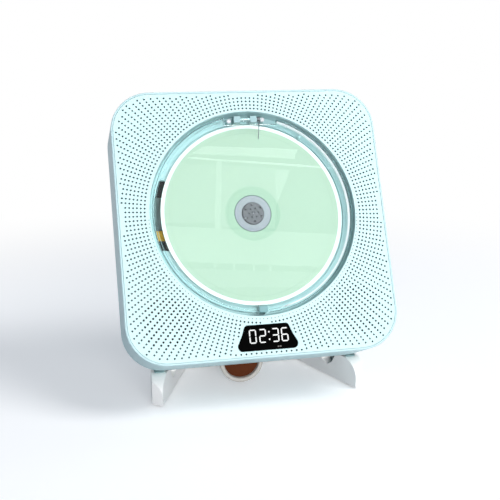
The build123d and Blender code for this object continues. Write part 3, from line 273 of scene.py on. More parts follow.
# %% [markdown]
# ## Finishes
# A moulded part is never one even colour: the mould's texture breaks the highlight up, and the
# pigment drifts a little over the width of a hand. Both effects go into nearly every material,
# so each is a node group that is made once. It takes a position and gives back a number, and the
# shader that uses the number stays in the material.

# %% Shared groups


def value_group(name, inputs, outputs):
    """Empty shader group: inputs maps a name to its default, outputs maps a name to its kind."""
    group = bpy.data.node_groups.new(name, "ShaderNodeTree")
    for label, value in inputs.items():
        kind = "NodeSocketVector" if value is None else "NodeSocketFloat"
        made = group.interface.new_socket(label, in_out="INPUT", socket_type=kind)
        if value is not None:
            made.default_value = value
    for label, kind in outputs.items():
        group.interface.new_socket(label, in_out="OUTPUT", socket_type=kind)
    return group, group.nodes.new("NodeGroupInput").outputs


grain_group, plug = value_group(
    "moulded grain", {"Position": None, "Grains per metre": 900.0}, {"Height": "NodeSocketFloat"}
)
fine = {"Vector": plug["Position"], "Scale": plug["Grains per metre"], "Detail": 3.0}
broad = calc(grain_group, "MULTIPLY", plug["Grains per metre"], 0.13)
pits = add(grain_group, "ShaderNodeTexNoise", fine).outputs["Fac"]
swells = {"Vector": plug["Position"], "Scale": broad, "Detail": 1.0}
waves = add(grain_group, "ShaderNodeTexNoise", swells).outputs["Fac"]
height = calc(grain_group, "MULTIPLY_ADD", waves, 0.35, pits)
add(grain_group, "NodeGroupOutput", {"Height": height})

drift_group, plug = value_group(
    "pigment drift", {"Position": None, "Amount": 0.03}, {"Shade": "NodeSocketFloat"}
)
cloud = {"Vector": plug["Position"], "Scale": 14.0, "Detail": 2.0, "Roughness": 0.6}
cloud = add(drift_group, "ShaderNodeTexNoise", cloud).outputs["Fac"]
off_centre = calc(drift_group, "SUBTRACT", cloud, 0.5)
shade = calc(drift_group, "MULTIPLY_ADD", off_centre, plug["Amount"], 1.0)
add(drift_group, "NodeGroupOutput", {"Shade": shade})

brush_group, plug = value_group(
    "drawn metal", {"Position": None, "Lines per metre": 3000.0}, {"Height": "NodeSocketFloat"}
)
stretched = {"Vector": plug["Position"], "Scale": (0.04, 1.0, 1.0)}
stretched = add(brush_group, "ShaderNodeMapping", stretched).outputs["Vector"]
lines = {"Vector": stretched, "Scale": plug["Lines per metre"], "Detail": 2.0}
lines = add(brush_group, "ShaderNodeTexNoise", lines).outputs["Fac"]
add(brush_group, "NodeGroupOutput", {"Height": lines})
print("groups:", [group.name for group in bpy.data.node_groups])

# %% [markdown]
# Every material starts in the same way, so four helpers take the steps that repeat: one turns a
# screen colour into the linear values a shader works with, one opens an empty material, one places
# a shared group in it, and one multiplies a colour by the pigment drift.

# %% Helpers for materials


def linear(code):
    """Colour written as on screen, six hex digits, to the linear values a shader takes."""
    parts = [int(code[k : k + 2], 16) / 255 for k in (0, 2, 4)]
    return [c / 12.92 if c <= 0.04045 else ((c + 0.055) / 1.055) ** 2.4 for c in parts] + [1.0]


def blank_material(name):
    """Material with an empty tree, its output node, and the surface's own position."""
    material = bpy.data.materials.new(name)
    material.use_nodes = True
    tree = material.node_tree
    tree.nodes.clear()
    place = tree.nodes.new("ShaderNodeTexCoord").outputs["Object"]
    return material, tree, place


def group_value(tree, group, output, **inputs):
    """Place a shared group and return one of its results."""
    made = tree.nodes.new("ShaderNodeGroup")
    made.node_tree = group
    for label, value in inputs.items():
        label = label.replace("_", " ")
        if isinstance(value, bpy.types.NodeSocket):
            tree.links.new(value, made.inputs[label])
        else:
            made.inputs[label].default_value = value
    return made.outputs[output]


def shaded(tree, place, colour, drift):
    """Colour times the pigment drift. colour is a hex code or a colour socket."""
    shade = group_value(tree, drift_group, "Shade", Position=place, Amount=drift)
    base = colour if isinstance(colour, bpy.types.NodeSocket) else linear(colour)
    mix = tree.nodes.new("ShaderNodeVectorMath")
    mix.operation = "SCALE"
    if isinstance(base, bpy.types.NodeSocket):
        tree.links.new(base, mix.inputs[0])
    else:
        mix.inputs[0].default_value = base[:3]
    tree.links.new(shade, mix.inputs["Scale"])
    return mix.outputs[0]


print("material helpers ready")

# %% [markdown]
# One function writes an ordinary finish, since most of them differ only in numbers. The colour
# is multiplied by the pigment drift, the roughness follows the grain a little, and the grain is
# also a fine bump. Anything that is the same all over, such as the coat, is set on the shader.

# %% An ordinary finish
ROUGH_SPREAD = 0.06


def plain_finish(
    name, colour, rough, grains=900.0, bump=0.12, drift=0.05, metal=0.0, group=None, **fixed
):
    """Moulded, painted or metal surface. fixed holds further Principled inputs by name."""
    material, tree, place = blank_material(name)
    colour = colour(tree, place) if callable(colour) else colour
    if group is brush_group:
        height = group_value(tree, group, "Height", Position=place, Lines_per_metre=grains)
    else:
        height = group_value(
            tree, grain_group, "Height", Position=place, Grains_per_metre=grains
        )
    dents = {"Height": height, "Strength": bump, "Distance": 0.0002}
    normal = add(tree, "ShaderNodeBump", dents).outputs["Normal"]
    spread = {"Value": height, "From Min": 0.3, "From Max": 0.9}
    spread.update({"To Min": rough - ROUGH_SPREAD, "To Max": rough + ROUGH_SPREAD})
    spread = add(tree, "ShaderNodeMapRange", spread).outputs["Result"]
    inputs = {
        "Base Color": shaded(tree, place, colour, drift),
        "Roughness": spread,
        "Metallic": metal,
        "Normal": normal,
    }
    inputs.update({label.replace("_", " "): value for label, value in fixed.items()})
    shader = add(tree, "ShaderNodeBsdfPrincipled", inputs).outputs["BSDF"]
    add(tree, "ShaderNodeOutputMaterial", {"Surface": shader})
    return material


print("plain_finish is ready")

# %% [markdown]
# The finishes themselves are a list of names and numbers: a colour, how rough it is, how fine its
# grain is, how deep, and how much the pigment drifts. The front, the case and the tray are one
# plastic in the hand; the case, the tray and the lid catch get deeper copies of its colour as
# painted shade: the case's walls in half shade, the well in the shadow of its wall, and the catch
# under the lid.

# %% The list of ordinary finishes
SHELL = "d2f0ef"
shell_paint = plain_finish(
    "aqua moulded shell", SHELL, 0.42, 1500.0, 0.10, 0.03, Specular_IOR_Level=0.3
)
# painted half shade: a deeper copy of the shell colour for the case's walls
case_half_shade_paint = plain_finish(
    "aqua case, painted half shade", "c8e5e7", 0.42, 1500.0, 0.10, 0.03, Specular_IOR_Level=0.3
)
# painted shade: the tray's well lies in the shadow of its wall
tray_shade_paint = plain_finish("aqua tray, painted shade", "a4c4c6", 0.46, 1500.0, 0.10, 0.03)
# painted shade: the catch sits under the lid
catch_shade_paint = plain_finish("aqua catch, painted shade", "7ba6a9", 0.46, 1500.0, 0.10, 0.03)
stand_paint = plain_finish("white moulded stand", "faf8f5", 0.36, 1200.0, 0.06, 0.02)
# painted shade: the stand's white made darker for the hoop under the player
hoop_shade_paint = plain_finish("white stand plastic, painted hoop shade", "c9c3bb", 0.45, 1200.0, 0.06, 0.02)
deck_black = plain_finish(
    "black deck steel", "0b1416", 0.45, 700.0, 0.10, 0.20, Specular_IOR_Level=0.1
)
soft_grey = plain_finish("grey rubber", "8f908e", 0.78, 1800.0, 0.25, 0.06)
# painted shade: grey rubber tinted aqua, as the shade under the case looks
pad_shade_grey = plain_finish("grey rubber, painted aqua shade", "86a3a5", 0.70, 1800.0, 0.20, 0.06)
soft_dark = plain_finish("dark rubber", "2c2d2e", 0.72, 1800.0, 0.25, 0.10)
soft_brown = plain_finish(
    "brown rubber", "5a2a0c", 0.75, 1400.0, 0.20, 0.15, Specular_IOR_Level=0.2
)
bright_steel = plain_finish(
    "drawn steel", "b9bcc0", 0.30, 3000.0, 0.10, 0.06, metal=1.0, group=brush_group
)
spring_steel = plain_finish("dark spring wire", "777c80", 0.35, 800.0, 0.03, 0.04, metal=1.0)
pin_grey = plain_finish("pale hinge plastic", "b3cdd0", 0.50, 900.0, 0.05, 0.04)
ball_steel = plain_finish("polished steel", "8f9196", 0.25, 800.0, 0.03, 0.04, metal=1.0)
gear_white = plain_finish("white gear plastic", "e2ddcf", 0.48, 1500.0, 0.10, 0.05)
sled_grey = plain_finish("dark sled plastic", "33373c", 0.50, 1200.0, 0.15, 0.12)
socket_black = plain_finish("black socket plastic", "1b1d1f", 0.40, 1400.0, 0.12, 0.10)
cone_paper = plain_finish("black cone paper", "26272a", 0.86, 2600.0, 0.45, 0.25)
lens_tint = plain_finish(
    "blue coated lens", "30508a", 0.08, 400.0, 0.01, 0.30, Coat_Weight=1.0, Coat_Roughness=0.02
)
print("finishes so far:", len(bpy.data.materials))

# %% [markdown]
# ### Where on the face a point lies
# The player is made of things that are round about the disc's middle: the print, the hub, the
# lid's rim. A Mapping node of the kind that undoes a placement brings a point of the surface back
# to the disc's own millimetres, and Vector Math measures how far it is from the axis.

# %% Distance from the disc's middle
WELL_PLACE = tuple(face_point(0, DISC_UP))
WELL_TURN = tuple(TURN.to_euler())


def from_disc_middle(tree, place):
    """Position in millimetres from the disc's middle, in the face's own axes."""
    undo = {"Vector": place, "Location": WELL_PLACE, "Rotation": WELL_TURN, "Scale": (0.001,) * 3}
    return add(tree, "ShaderNodeMapping", undo, vector_type="TEXTURE").outputs["Vector"]


def distance_from_axis(tree, local):
    """Distance from the axis, in millimetres."""
    flat = add(
        tree, "ShaderNodeVectorMath", {0: local, 1: (1.0, 1.0, 0.0)}, operation="MULTIPLY"
    ).outputs[0]
    return add(tree, "ShaderNodeVectorMath", {0: flat}, operation="LENGTH").outputs["Value"]


def between(tree, value, start, end):
    """0 before start, 1 after end, a soft step in between; start may be the larger one."""
    step = {"Value": value, "From Min": start, "From Max": end}
    step = add(tree, "ShaderNodeMapRange", step, interpolation_type="SMOOTHSTEP")
    return step.outputs["Result"]


print("disc middle, m:", [round(c, 4) for c in WELL_PLACE])

# %% [markdown]
# ### The pierced front
# The holes of the front are deep for their width, so little light reaches their floors, and they
# look dark however small they are. That dark is painted shade: a point that lies below the outer
# surface, away from the well and away from the outer edge, can only be inside a hole, and there a
# mask paints a deep grey green shade over the shell colour. The same kind of mask paints shade on
# the two heels of the rear cover, where they hook into the stand.

# %% Pierced shell
PANEL_HALF = 86.55
PANEL_CORNER = 24.55
WELL_OPEN = 67.5
WELL_RIM, SIDE_RIM = 0.5, 0.85  # the mask keeps this far from the well and from the sides
MASK_SOFT = 0.1
SUNK_FROM, SUNK_FULL = -0.05, -0.6
# painted shade for the floors of the holes
HOLE_SHADE = "33565a"
HEEL_FROM = -38.4
HEEL_SOFT = 0.3
# painted shade on the heels, where they hook into the stand
HEEL_SHADE = "3b4d51"


def pierced(tree, place):
    """Shell colour outside, painted shade down in the holes."""
    local = from_disc_middle(tree, place)
    depth = add(tree, "ShaderNodeSeparateXYZ", {0: local}).outputs["Z"]
    sunk = between(tree, depth, SUNK_FROM, SUNK_FULL)
    at_well = WELL_OPEN + WELL_RIM
    clear = between(tree, distance_from_axis(tree, local), at_well - MASK_SOFT, at_well)
    sunk = calc(tree, "MULTIPLY", sunk, clear)
    straight = (PANEL_HALF - PANEL_CORNER,) * 2 + (0.0,)
    steps = (("ADD", (0.0, DISC_UP, 0.0)), ("ABSOLUTE", None), ("SUBTRACT", straight))
    corner = local
    for operation, by in steps + (("MAXIMUM", (0.0, 0.0, 0.0)),):
        inputs = {0: corner} if by is None else {0: corner, 1: by}
        corner = add(tree, "ShaderNodeVectorMath", inputs, operation=operation).outputs[0]
    edge = distance_from_axis(tree, corner)
    at_side = PANEL_CORNER - SIDE_RIM
    clear = between(tree, edge, at_side, at_side - 2 * MASK_SOFT)
    sunk = calc(tree, "MULTIPLY", sunk, clear)
    # the mask mixes the painted hole shade into the shell colour
    tone = {"Factor": sunk, "A": linear(SHELL), "B": linear(HOLE_SHADE)}
    return add(tree, "ShaderNodeMix", tone, data_type="RGBA").outputs["Result"]


panel_paint = plain_finish(
    "aqua pierced front, painted hole shade", pierced, 0.42, 1500.0, 0.10, 0.03, Specular_IOR_Level=0.3
)


def heel_shaded(tree, place):
    """Shell colour, with painted shade on what stands out behind the rear cover's back."""
    depth = add(tree, "ShaderNodeSeparateXYZ", {0: from_disc_middle(tree, place)}).outputs["Z"]
    behind = between(tree, depth, HEEL_FROM, HEEL_FROM - HEEL_SOFT)
    tone = {"Factor": behind, "A": linear(SHELL), "B": linear(HEEL_SHADE)}
    return add(tree, "ShaderNodeMix", tone, data_type="RGBA").outputs["Result"]


# the rear cover's finish carries the painted heel shade
cover_heel_shade_paint = plain_finish(
    "aqua rear cover, painted heel shade", heel_shaded, 0.42, 1500.0, 0.10, 0.03, Specular_IOR_Level=0.3
)
print(panel_paint.name, "and", cover_heel_shade_paint.name)

# %% [markdown]
# ### The clear lid
# The lid is thick clear plastic. Ray-traced plastic that bends light also blocks it, so the disc
# below would lie in the dark. A real lid lets the light in, and the usual answer is to let shadow
# rays pass: the Light Path node tells the material when a ray only asks "is there light here?",
# and then a transparent shader answers instead of the plastic. Light that entered the plate runs
# inside it and leaves at the rim, which is why a clear lid shows a white line just inside its
# edge, strongest on the lit side; a narrow ring of pale plastic mixed in stands for it as a painted
# highlight. The rim's outer wall is seen edge on, through a lot of plastic, and shows a thin darker
# line round it, which is painted shade here.

# %% Clear lid
LIT_RING = (63.2, 64.0)
LIT_SIDE = (8.0, 24.0)
RING_SOFT, RING_SHARE = 0.15, 0.8
# painted shade: where the thin darker line of the rim's outer wall begins
DARK_EDGE = 65.2
EDGE_SOFT, EDGE_SHARE = 0.1, 0.6
PLASTIC_IOR = 1.3


def clear_finish(name, colour, rough):
    """Clear plastic that lets light through, with a painted highlight and painted shade at the rim.
    """
    material, tree, place = blank_material(name)
    haze = group_value(tree, grain_group, "Height", Position=place, Grains_per_metre=60.0)
    wavy = {"Height": haze, "Strength": 0.003, "Distance": 0.0003}
    normal = add(tree, "ShaderNodeBump", wavy).outputs["Normal"]
    smears = {"Value": haze, "From Min": 0.4, "From Max": 0.9, "To Min": 0.0, "To Max": rough}
    smears = add(tree, "ShaderNodeMapRange", smears).outputs["Result"]
    plastic = {
        "Base Color": linear(colour),
        "Roughness": smears,
        "Normal": normal,
        "IOR": PLASTIC_IOR,
        "Transmission Weight": 1.0,
    }
    plastic = add(tree, "ShaderNodeBsdfPrincipled", plastic).outputs["BSDF"]
    local = from_disc_middle(tree, place)
    radius = distance_from_axis(tree, local)
    # painted highlight: a ring of pale plastic inside the rim, on the lit side only
    ring = between(tree, radius, LIT_RING[0] - RING_SOFT, LIT_RING[0])
    ring_end = between(tree, radius, LIT_RING[1] + RING_SOFT, LIT_RING[1])
    ring = calc(tree, "MULTIPLY", ring, ring_end)
    lit_side = add(tree, "ShaderNodeSeparateXYZ", {0: local}).outputs["X"]
    ring = calc(tree, "MULTIPLY", ring, between(tree, lit_side, *LIT_SIDE))
    rim_glow = {"Base Color": linear("eef2f3"), "Roughness": 0.4, "Normal": normal}
    rim_glow = add(tree, "ShaderNodeBsdfPrincipled", rim_glow).outputs["BSDF"]
    rim_glow_mix = {"Fac": calc(tree, "MULTIPLY", ring, RING_SHARE), 1: plastic, 2: rim_glow}
    plastic = add(tree, "ShaderNodeMixShader", rim_glow_mix).outputs[0]
    # painted shade: the rim's outer wall drawn as a thin darker line
    wall = between(tree, radius, DARK_EDGE - EDGE_SOFT, DARK_EDGE)
    shade = {"Base Color": linear("46686c"), "Roughness": 0.2, "Normal": normal}
    shade = add(tree, "ShaderNodeBsdfPrincipled", shade).outputs["BSDF"]
    edged = {"Fac": calc(tree, "MULTIPLY", wall, EDGE_SHARE), 1: plastic, 2: shade}
    plastic = add(tree, "ShaderNodeMixShader", edged).outputs[0]
    open_way = add(tree, "ShaderNodeBsdfTransparent", {"Color": linear("e6f0ef")}).outputs[0]
    asks = tree.nodes.new("ShaderNodeLightPath").outputs["Is Shadow Ray"]
    either = {"Fac": asks, 1: plastic, 2: open_way}
    either = add(tree, "ShaderNodeMixShader", either).outputs[0]
    add(tree, "ShaderNodeOutputMaterial", {"Surface": either})
    return material


lid_clear = clear_finish("clear lid plastic", "f7fbfb", 0.02)
print(lid_clear.name)

# %% [markdown]
# ### Circuit boards and the amber film
# Nobody sees much of the boards, but the keys, sockets and clock stand on them, and they show
# when the part is taken apart. Green lacquer over copper tracks is a blocky pattern: Voronoi
# cells with their distance measured along the axes give short straight runs at right angles.

# %% Board lacquer and film
board_green, tree, place = blank_material("green board lacquer")
cells = {"Vector": place, "Scale": 260.0, "Randomness": 0.9}
cells = add(tree, "ShaderNodeTexVoronoi", cells, distance="CHEBYCHEV", feature="F1")
tracks = add(
    tree,
    "ShaderNodeMapRange",
    {"Value": cells.outputs["Distance"], "From Min": 0.30, "From Max": 0.34},
).outputs["Result"]
lacquer = add(
    tree,
    "ShaderNodeMix",
    {"Factor": tracks, "A": linear("1d5a3a"), "B": linear("2f7d4c")},
    data_type="RGBA",
).outputs["Result"]
raised = add(
    tree, "ShaderNodeBump", {"Height": tracks, "Strength": 0.3, "Distance": 0.0001}
).outputs["Normal"]
shader = {
    "Base Color": shaded(tree, place, lacquer, 0.10),
    "Roughness": 0.34,
    "Normal": raised,
    "Coat Weight": 0.4,
}
shader = add(tree, "ShaderNodeBsdfPrincipled", shader).outputs["BSDF"]
add(tree, "ShaderNodeOutputMaterial", {"Surface": shader})

amber_film = plain_finish(
    "amber film", "c89600", 0.40, 500.0, 0.05, 0.10, Specular_IOR_Level=0.2
)
print("board and film ready")

# %% [markdown]
# ### The printed disc
# A disc is clear plastic with a mirror layer and a label printed on top, and everything on it is
# round. So its colour depends only on the distance from its middle, and a colour ramp with hard
# steps lays out the clear middle, the stacking ring, the label and the bare rim.

# %% Disc print
DISC_REACH = 60.5


def banded(tree, position, bands, top):
    """Colour ramp with hard steps. bands is a list of (start, hex colour)."""
    share = calc(tree, "DIVIDE", position, top)
    ramp = add(tree, "ShaderNodeValToRGB", {"Fac": share})
    ramp.color_ramp.interpolation = "CONSTANT"
    stops = ramp.color_ramp.elements
    for k, (start, colour) in enumerate(bands):
        stop = stops[k] if k < 1 else stops.new(start / top)
        stop.position = start / top
        stop.color = linear(colour)
    stops.remove(stops[len(bands)])
    return ramp.outputs["Color"]


disc_print, tree, place = blank_material("printed disc")
local = from_disc_middle(tree, place)
radius = distance_from_axis(tree, local)
print_bands = [
    (0.0, "95989f"),
    (11.8, "4b5a59"),
    (12.15, "98b29b"),
    (18.0, "a5b9a5"),
    (53.9, "95ab97"),
    (54.15, "a5b9a5"),
    (57.5, "f2f7f5"),
]
label = banded(tree, radius, print_bands, DISC_REACH)
shader = {
    "Base Color": shaded(tree, place, label, 0.03),
    "Roughness": 0.35,
    "Specular IOR Level": 0.20,
}
ink = group_value(tree, grain_group, "Height", Position=place, Grains_per_metre=2400.0)
shader["Normal"] = add(
    tree, "ShaderNodeBump", {"Height": ink, "Strength": 0.04, "Distance": 0.0001}
).outputs["Normal"]
shader = add(tree, "ShaderNodeBsdfPrincipled", shader).outputs["BSDF"]
add(tree, "ShaderNodeOutputMaterial", {"Surface": shader})
print("disc bands", len(print_bands))

# %% [markdown]
# ### The hub
# The hub is a plastic cap turned smooth, on a platter with a dark rubber mat. It is round too, so
# the same ramp does for it; its first two steps are a painted highlight in the very middle and
# painted shade round the bore. A fine wave over the radius stands for the turning marks, and a
# mask paints shade on the floors of its small blind holes.

# %% Hub plastic and mat
HUB_REACH = 14.0
TURNED_LINES = 9.0
HUB_HOLES_BELOW, HUB_HOLES_WITHIN = -5.3, 6.4
hub_grey, tree, place = blank_material("hub plastic and rubber mat")
local = from_disc_middle(tree, place)
radius = distance_from_axis(tree, local)
# painted highlight up to 0.7 mm from the middle, then painted shade round the bore
hub_bands = [(0.0, "f4f4f4"), (0.7, "2c2d30"), (1.1, "55565b"), (7.45, "9fa1a9"), (12.4, "44474b")]
tone = banded(tree, radius, hub_bands, HUB_REACH)
turned = calc(tree, "SINE", calc(tree, "MULTIPLY", radius, TURNED_LINES))
ridges = add(
    tree, "ShaderNodeBump", {"Height": turned, "Strength": 0.05, "Distance": 0.0001}
).outputs["Normal"]
# painted shade: the floors of the blind holes take a near black
sunk = add(tree, "ShaderNodeSeparateXYZ", {0: local}).outputs["Z"]
sunk = calc(tree, "LESS_THAN", sunk, HUB_HOLES_BELOW)
sunk = calc(tree, "MULTIPLY", sunk, calc(tree, "LESS_THAN", radius, HUB_HOLES_WITHIN))
tone = {"Factor": sunk, "A": tone, "B": linear("1a1b1d")}
tone = add(tree, "ShaderNodeMix", tone, data_type="RGBA").outputs["Result"]
shader = {
    "Base Color": shaded(tree, place, tone, 0.06),
    "Roughness": 0.40,
    "Normal": ridges,
}
shader = add(tree, "ShaderNodeBsdfPrincipled", shader).outputs["BSDF"]
add(tree, "ShaderNodeOutputMaterial", {"Surface": shader})
print("hub bands", len(hub_bands))

# %% [markdown]
# ### The clock window
# A pane of black gloss acrylic hides the display when it is off. When it is on, the digits look
# as if they float in the black, so they are separate thin pieces with a material that gives off
# light. Real digits are never evenly bright, and a little noise in the emission shows that.

# %% Black pane and lit digits
pane_black = plain_finish(
    "black window acrylic", "010101", 0.10, 300.0, 0.01, 0.30, Specular_IOR_Level=0.03
)


def lit_finish(name, colour, strength):
    """Light-giving ink with a slight unevenness."""
    material, tree, place = blank_material(name)
    cloud = group_value(tree, drift_group, "Shade", Position=place, Amount=0.4)
    glow = tree.nodes.new("ShaderNodeVectorMath")
    glow.operation = "SCALE"
    glow.inputs[0].default_value = linear(colour)[:3]
    tree.links.new(cloud, glow.inputs["Scale"])
    shader = {
        "Base Color": linear("202224"),
        "Roughness": 0.3,
        "Emission Color": glow.outputs[0],
        "Emission Strength": strength,
    }
    shader = add(tree, "ShaderNodeBsdfPrincipled", shader).outputs["BSDF"]
    add(tree, "ShaderNodeOutputMaterial", {"Surface": shader})
    return material


digit_light = lit_finish("lit digits", "fbfdfc", 1.0)
mark_light = lit_finish("dim sign", "8b857a", 0.5)
print("window finishes ready")

# %% [markdown]
# ## The pierced face panel
# The panel drops into the case and leaves a hair-thin seam. Some 1,800 small dimples run out
# from the round well in straight spokes, like the grooves of a record turned outwards; over the
# two loudspeakers they go right through. Drawing the rule once is far less work than placing
# holes: a grid of points is bent into a polar grid, the points outside the panel's margin or over
# the clock window are deleted, and one small pin is put on each point and cut from the panel.

# %% Panel plate
WINDOW_MIDDLE = -75.0
WINDOW_SIZE = (43.4, 27.8, 15.9)
SPEAKER_AT = 62.0
SPEAKER_OPEN = 15.8
PATTERN_UP = 4.9


def in_face_mm(obj, place):
    """Bring a room mesh back to the flat drawing, in millimetres."""
    obj.data.transform(place.inverted())
    return obj


plate = in_face_mm(softened("front_panel", "face_panel", 0.30), FACE)
low, high = (
    Vector(map(min, zip(*[v.co for v in plate.data.vertices]))),
    Vector(map(max, zip(*[v.co for v in plate.data.vertices]))),
)
print("panel, mm:", [round(c, 2) for c in high - low])

# %% [markdown]
# The rule of the pattern is one node tree. Every number that a maker would want to change (how
# many spokes, the pitch of the rings, the size and depth of a hole, the margins) is a named input.

# %% Hole pattern as a node tree
pierce, sizes = sized_tree(
    "pierce the panel",
    Spokes=176,
    Rings=22,
    First_ring=68.3,
    Ring_pitch=2.4,
    First_radius=0.30,
    Hole_radius=0.62,
    Through_radius=0.70,
    Hole_depth=1.9,
    Through_depth=3.0,
    Well_margin=0.8,
    Edge_margin=1.8,
    Window_margin=1.3,
    Low_row=-84.7,
)


def length_of(tree, across, along):
    """Distance from 0, 0."""
    square = calc(tree, "MULTIPLY", along, along)
    return calc(tree, "SQRT", calc(tree, "MULTIPLY_ADD", across, across, square))


turn_step = calc(pierce, "DIVIDE", 2 * math.pi, sizes["Spokes"])
full_turn = calc(pierce, "SUBTRACT", 2 * math.pi, turn_step)
span = calc(pierce, "MULTIPLY", calc(pierce, "SUBTRACT", sizes["Rings"], 1), sizes["Ring_pitch"])
grid = {"Size X": full_turn, "Size Y": span, "Vertices X": sizes["Spokes"]}
grid["Vertices Y"] = sizes["Rings"]
grid = add(pierce, "GeometryNodeMeshGrid", grid).outputs["Mesh"]
flat = add(pierce, "GeometryNodeInputPosition").outputs[0]
flat = add(pierce, "ShaderNodeSeparateXYZ", {0: flat})
angle = flat.outputs["X"]
middle = calc(pierce, "MULTIPLY_ADD", span, 0.5, sizes["First_ring"])
ring_r = calc(pierce, "ADD", flat.outputs["Y"], middle)
x = calc(pierce, "MULTIPLY", ring_r, calc(pierce, "COSINE", angle))
y = calc(pierce, "MULTIPLY", ring_r, calc(pierce, "SINE", angle))
print("grid bent to a ring,", len(pierce.nodes), "nodes")

# %% [markdown]
# Below the clock window one straight row follows the panel's lower edge instead of the ring, so
# the points close to that line are pulled onto it before anything is placed.

# %% The straight row, and the points in their place
ROW_SPARE = 1.5
row_y = calc(pierce, "SUBTRACT", sizes["Low_row"], PATTERN_UP)
close = calc(pierce, "ABSOLUTE", calc(pierce, "SUBTRACT", y, row_y))
close = calc(pierce, "LESS_THAN", close, calc(pierce, "MULTIPLY", sizes["Ring_pitch"], 0.5))
row_reach = WINDOW_SIZE[0] / 2 + ROW_SPARE
below_pane = calc(pierce, "LESS_THAN", calc(pierce, "ABSOLUTE", x), row_reach)
snapped = calc(pierce, "MULTIPLY", close, below_pane)
stretch = calc(pierce, "SUBTRACT", calc(pierce, "DIVIDE", row_y, y), 1)
stretch = calc(pierce, "MULTIPLY_ADD", snapped, stretch, 1)
x = calc(pierce, "MULTIPLY", x, stretch)
y = calc(pierce, "MULTIPLY_ADD", y, stretch, PATTERN_UP)
bent = add(pierce, "ShaderNodeCombineXYZ", {"X": x, "Y": y}).outputs[0]
polar = add(pierce, "GeometryNodeSetPosition", {"Geometry": grid, "Position": bent}).outputs[0]
print("points placed,", len(pierce.nodes), "nodes")

# %% [markdown]
# Points outside the panel's margin, over the well or over the window are deleted. The distance to
# a rounded square is the length of whatever part of the point lies past its straight sides.

# %% Points that stay
spot = add(pierce, "GeometryNodeInputPosition").outputs[0]
spot = add(pierce, "ShaderNodeSeparateXYZ", {0: spot})
rise = spot.outputs["Y"]
side = calc(pierce, "ABSOLUTE", spot.outputs["X"])
straight = PANEL_HALF - PANEL_CORNER
qx = calc(pierce, "MAXIMUM", calc(pierce, "SUBTRACT", side, straight), 0)
qy = calc(pierce, "SUBTRACT", calc(pierce, "ABSOLUTE", rise), straight)
qy = calc(pierce, "MAXIMUM", qy, 0)
limit = calc(pierce, "SUBTRACT", PANEL_CORNER, sizes["Edge_margin"])
outside = calc(pierce, "GREATER_THAN", length_of(pierce, qx, qy), limit)
from_disc = length_of(pierce, side, calc(pierce, "SUBTRACT", rise, DISC_UP))
at_well = calc(pierce, "ADD", sizes["Well_margin"], WELL_OPEN)
outside = calc(pierce, "MAXIMUM", outside, calc(pierce, "LESS_THAN", from_disc, at_well))
up_window = calc(pierce, "SUBTRACT", rise, WINDOW_MIDDLE)
slope = (WINDOW_SIZE[1] - WINDOW_SIZE[0]) / 2 / WINDOW_SIZE[2]
half_pane = calc(pierce, "MULTIPLY_ADD", up_window, slope, (WINDOW_SIZE[0] + WINDOW_SIZE[1]) / 4)
near_x = calc(pierce, "LESS_THAN", side, calc(pierce, "ADD", half_pane, sizes["Window_margin"]))
half_tall = calc(pierce, "ADD", sizes["Window_margin"], WINDOW_SIZE[2] / 2)
near_y = calc(pierce, "LESS_THAN", calc(pierce, "ABSOLUTE", up_window), half_tall)
gone = calc(pierce, "MAXIMUM", outside, calc(pierce, "MULTIPLY", near_x, near_y))
kept = {"Geometry": polar, "Selection": gone}
kept = add(pierce, "GeometryNodeDeleteGeometry", kept, domain="POINT").outputs[0]
print("points sorted out,", len(pierce.nodes), "nodes")

# %% [markdown]
# One pin of ten sides stands on each point that is left: finer in the first ring, wider and right
# through over a loudspeaker. All the pins are then cut from the panel in one Mesh Boolean.

# %% Pins and the cut
dx = calc(pierce, "SUBTRACT", side, SPEAKER_AT)
over_cone = length_of(pierce, dx, calc(pierce, "ADD", rise, SPEAKER_AT))
over_cone = calc(pierce, "LESS_THAN", over_cone, SPEAKER_OPEN)
now_r = length_of(pierce, side, calc(pierce, "SUBTRACT", rise, PATTERN_UP))
first = calc(pierce, "LESS_THAN", now_r, calc(pierce, "ADD", sizes["First_ring"], 0.1))
wider = calc(pierce, "SUBTRACT", sizes["Through_radius"], sizes["Hole_radius"])
finer = calc(pierce, "SUBTRACT", sizes["First_radius"], sizes["Hole_radius"])
hole_r = calc(pierce, "MULTIPLY_ADD", over_cone, wider, sizes["Hole_radius"])
hole_r = calc(pierce, "MULTIPLY_ADD", first, finer, hole_r)
deeper = calc(pierce, "SUBTRACT", sizes["Through_depth"], sizes["Hole_depth"])
hole_d = calc(pierce, "MULTIPLY_ADD", over_cone, deeper, sizes["Hole_depth"])
pin_size = {"X": hole_r, "Y": hole_r, "Z": calc(pierce, "MULTIPLY", hole_d, 2)}
pin_size = add(pierce, "ShaderNodeCombineXYZ", pin_size).outputs[0]
pin = {"Vertices": 10, "Side Segments": 1, "Fill Segments": 1, "Radius": 1.0, "Depth": 1.0}
pin = add(pierce, "GeometryNodeMeshCylinder", pin, fill_type="NGON").outputs["Mesh"]
pins = {"Points": kept, "Instance": pin, "Scale": pin_size}
pins = add(pierce, "GeometryNodeInstanceOnPoints", pins).outputs[0]
pins = add(pierce, "GeometryNodeRealizeInstances", {"Geometry": pins}).outputs[0]
cut = {"Mesh 1": sizes["Geometry"], "Mesh 2": pins}
cut = add(pierce, "GeometryNodeMeshBoolean", cut, operation="DIFFERENCE", solver="MANIFOLD")
finish_tree(pierce, cut.outputs["Mesh"], sizes)
grow(plate, pierce, panel_paint, FACE)
smooth_by_angle(plate, 30)
keep(plate, "player", "shell", "front_panel")

# %% [markdown]
# ## Moulded shell pieces
# The solids already have the right shape, down to the seam round the panel. What a solid lacks is
# the soft edge that a mould leaves. A Bevel modifier with an angle limit rounds only the sharp
# edges, and smooth shading by angle then hides the flats along the curves.

